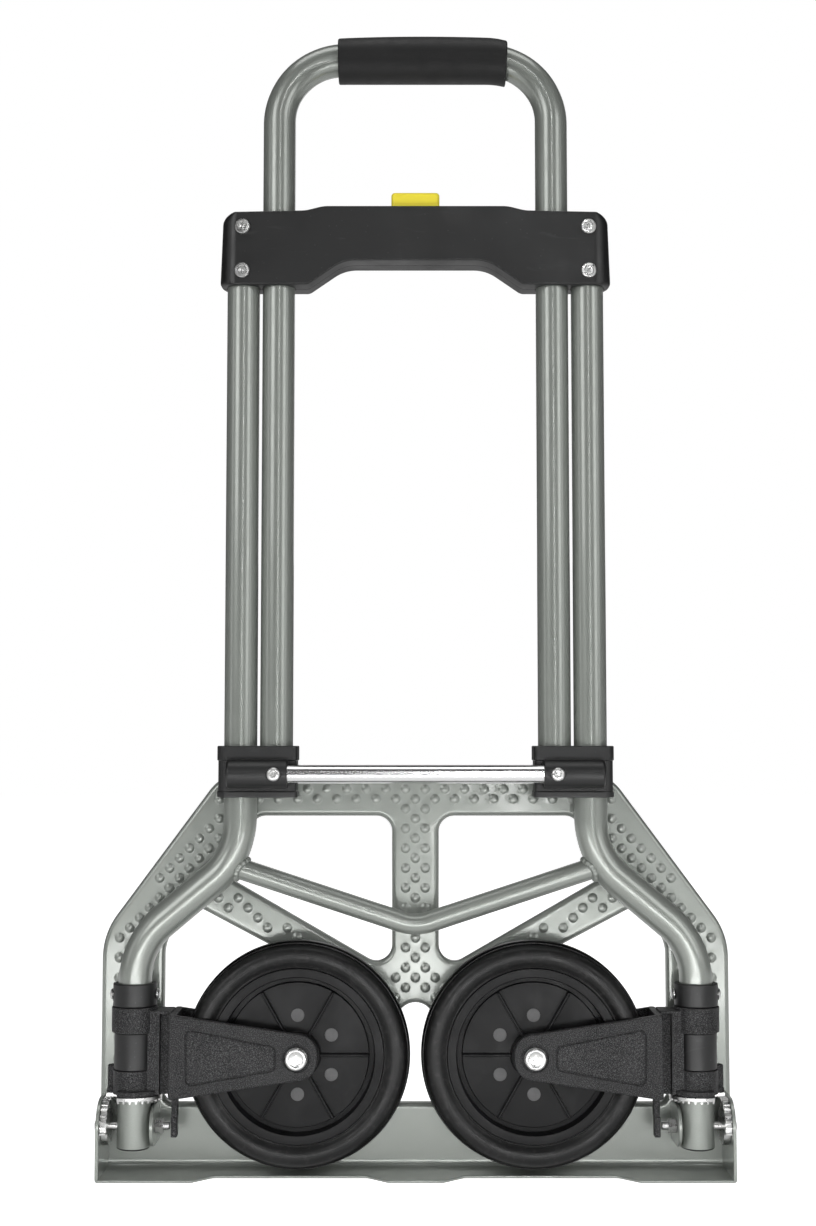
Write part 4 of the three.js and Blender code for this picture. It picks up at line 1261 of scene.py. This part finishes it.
def rolled_edge(corners, steps, direction):
    """The edge of the sheet turned back in a smooth roll: direction 1 for the outline, -1 for a window."""
    back_face = FACE + SHEET
    levels = [(inset, FACE + depth) for inset, depth in rounding(ROLL, 6)]
    levels += [(0, SKIRT - 0.7), (0.2, SKIRT - 0.2), (0.7, SKIRT), (SHEET - 0.5, SKIRT), (SHEET, SKIRT - 0.5)]
    levels += [(SHEET + inset, back_face + depth) for inset, depth in reversed(rounding(INNER_ROLL, 6))]
    return skin("y", rounded(corners, steps), [(direction * inset, y) for inset, y in levels])


def flange():
    """Bottom flange that the truck stands on, full depth at its ends and middle, with a soft inner bend."""
    end, back, relief = PLATE_HIGH.x - 4.5, PLATE_LOW.y, -7
    half = [(20, back, 6), (36, relief, 6), (150, relief, 6), (165, back, 6), (end, back, 3)]
    half.append((end, FACE + SHEET))
    bottom, top, bend, sunk = PLATE_LOW.z, PLATE_LOW.z + SHEET, 4.0, 0.5
    plate = slab("z", rounded(flipped(half) + half, 6), bottom, top, edge=0.7)
    corner = [(FACE + 1, top - sunk), (FACE + 1, top + bend)]
    corner += [(FACE - inset, top + depth) for inset, depth in reversed(rounding(bend, 6))]
    corner.append((FACE - bend, top - sunk))
    return [plate, loft([place("x", corner, x) for x in (-end + sunk, end - sunk)])]


def ears():
    """The two hinge ears of the right side: a wide outer one down to the flange, a round inner one."""
    back = FACE + 1
    foot, reach, small = PLATE_LOW.z + 0.3, 21.5, 15
    outer = rounded([(-reach, foot, 3), (back, foot), (back, reach), (-reach, reach, 21)], 16)
    inner = rounded([(-small, -small, 14.5), (back, -small), (back, small), (-small, small, 14.5)], 12)
    return [
        moved(slab("x", outline, low, low + 2.5, [circle(3.3, 32)], edge=0.5), (FOOT_X, 0, 0))
        for outline, low in ((outer, 22.7), (inner, -16))
    ]


def toe_plate():
    spots = dimple_places()
    back_roll = SHEET + INNER_ROLL
    sides = [plate_side(FACE, ROLL, spots, 1.0), plate_side(FACE + SHEET, back_roll, spots, 0.8)]
    edges = [rolled_edge(PLATE_CORNERS, 14, 1)] + [rolled_edge(corners, 10, -1) for corners in WINDOWS]
    return joined(*sides, *edges), [*flange(), *ears(), *[mirrored(ear) for ear in ears()]]


def make_toe_plate():
    sheet, parts = toe_plate()
    piece("toe_plate", sheet, PAINT, smooth=50)
    names = ["plate_flange", "flange_bend"]
    names += [f"ear_{which}_{side}" for side in ("right", "left") for which in ("outer", "inner")]
    for name, shape in zip(names, parts):
        piece("toe_plate", shape, PAINT, name=name)


# ---- stage ----


def aim(thing, target):
    thing.rotation_euler = (Vector(target) - thing.location).to_track_quat("-Z", "Y").to_euler()


def area_light(name, location, target, width, height, power):
    light = bpy.data.lights.new(name, "AREA")
    light.shape = "RECTANGLE"
    light.size = width
    light.size_y = height
    light.energy = power
    thing = bpy.data.objects.new(name, light)
    bpy.context.scene.collection.objects.link(thing)
    thing.location = location
    aim(thing, target)


def make_camera():
    """The photograph's viewpoint: level with the lower third of the truck, tipped up a little."""
    camera = bpy.data.cameras.new("camera")
    camera.lens = 51.39
    camera.sensor_width = 36
    thing = bpy.data.objects.new("camera", camera)
    bpy.context.scene.collection.objects.link(thing)
    thing.location = (-0.0057, -1.330, 0.3232)
    thing.rotation_euler = (radians(90 + 4.18), 0, 0)
    bpy.context.scene.camera = thing


def make_world():
    """White studio: pure white to the camera, a softer grey as light."""
    world = bpy.data.worlds.new("studio")
    bpy.context.scene.world = world
    world.use_nodes = True
    tree = world.node_tree
    background = tree.nodes["Background"]
    background.inputs["Color"].default_value = (1, 1, 1, 1)
    path = tree.nodes.new("ShaderNodeLightPath")
    level = tree.nodes.new("ShaderNodeMapRange")
    level.inputs["To Min"].default_value = 0.05
    tree.links.new(path.outputs["Is Camera Ray"], level.inputs["Value"])
    tree.links.new(level.outputs["Result"], background.inputs["Strength"])


def make_floor():
    floor = Finish("floor", (0.86, 0.86, 0.86), 0.9, specular=0.1)
    floor.tint(floor.noise(3, 3), 0.4, 0.7, 0.2, (0.84, 0.84, 0.85))
    floor.shader.inputs["Emission Color"].default_value = (1, 1, 1, 1)
    path = floor.tree.nodes.new("ShaderNodeLightPath")
    glow = floor.between(path.outputs["Is Camera Ray"], 0, 1, 0.40, 0.96)
    floor.link(glow, floor.shader.inputs["Emission Strength"])
    half, front, back = 5.0, -0.9, 9.0
    corners = [(-half, front, 0), (half, front, 0), (half, back, 0), (-half, back, 0)]
    mesh = bpy.data.meshes.new("floor")
    mesh.from_pydata(corners, [], [(0, 1, 2, 3)])
    mesh.materials.append(floor.material)
    thing = bpy.data.objects.new("floor", mesh)
    bpy.context.scene.collection.objects.link(thing)


def make_lights():
    centre = (0, 0, 0.42)
    area_light("front_left", (-1.7, -2.1, 1.5), centre, 1.1, 1.5, 21)
    area_light("front_right", (1.8, -1.9, 1.1), centre, 0.9, 1.6, 15)
    area_light("front_strip", (0.22, -2.4, 0.9), centre, 0.05, 2.0, 8)
    area_light("low_front", (0, -0.75, 0.02), (0, 0, 0.06), 1.1, 0.12, 4.2)
    area_light("top_soft", (0, -0.3, 2.6), centre, 2.2, 1.0, 17)
    area_light("right_soft", (2.3, -1.0, 0.9), centre, 0.5, 1.4, 3.5)
    area_light("left_soft", (-2.3, -0.8, 0.9), centre, 0.5, 1.4, 3.5)
    area_light("back_soft", (0.4, 2.6, 1.5), centre, 2.0, 1.6, 10)


# ---- the whole truck ----

make_camera()
make_world()
make_floor()
make_lights()
bpy.context.scene.view_settings.view_transform = "Standard"

make_frame()
make_handle()
make_head()
make_button()
make_spring()
make_sliders()
make_feet()
make_arms()
make_wheels()
make_toe_plate()

for lock_bar in ("lock_bar_left", "lock_bar_right"):
    for material_slot in frame["nodes"][lock_bar].material_slots:
        material_slot.material = SPRING[0]
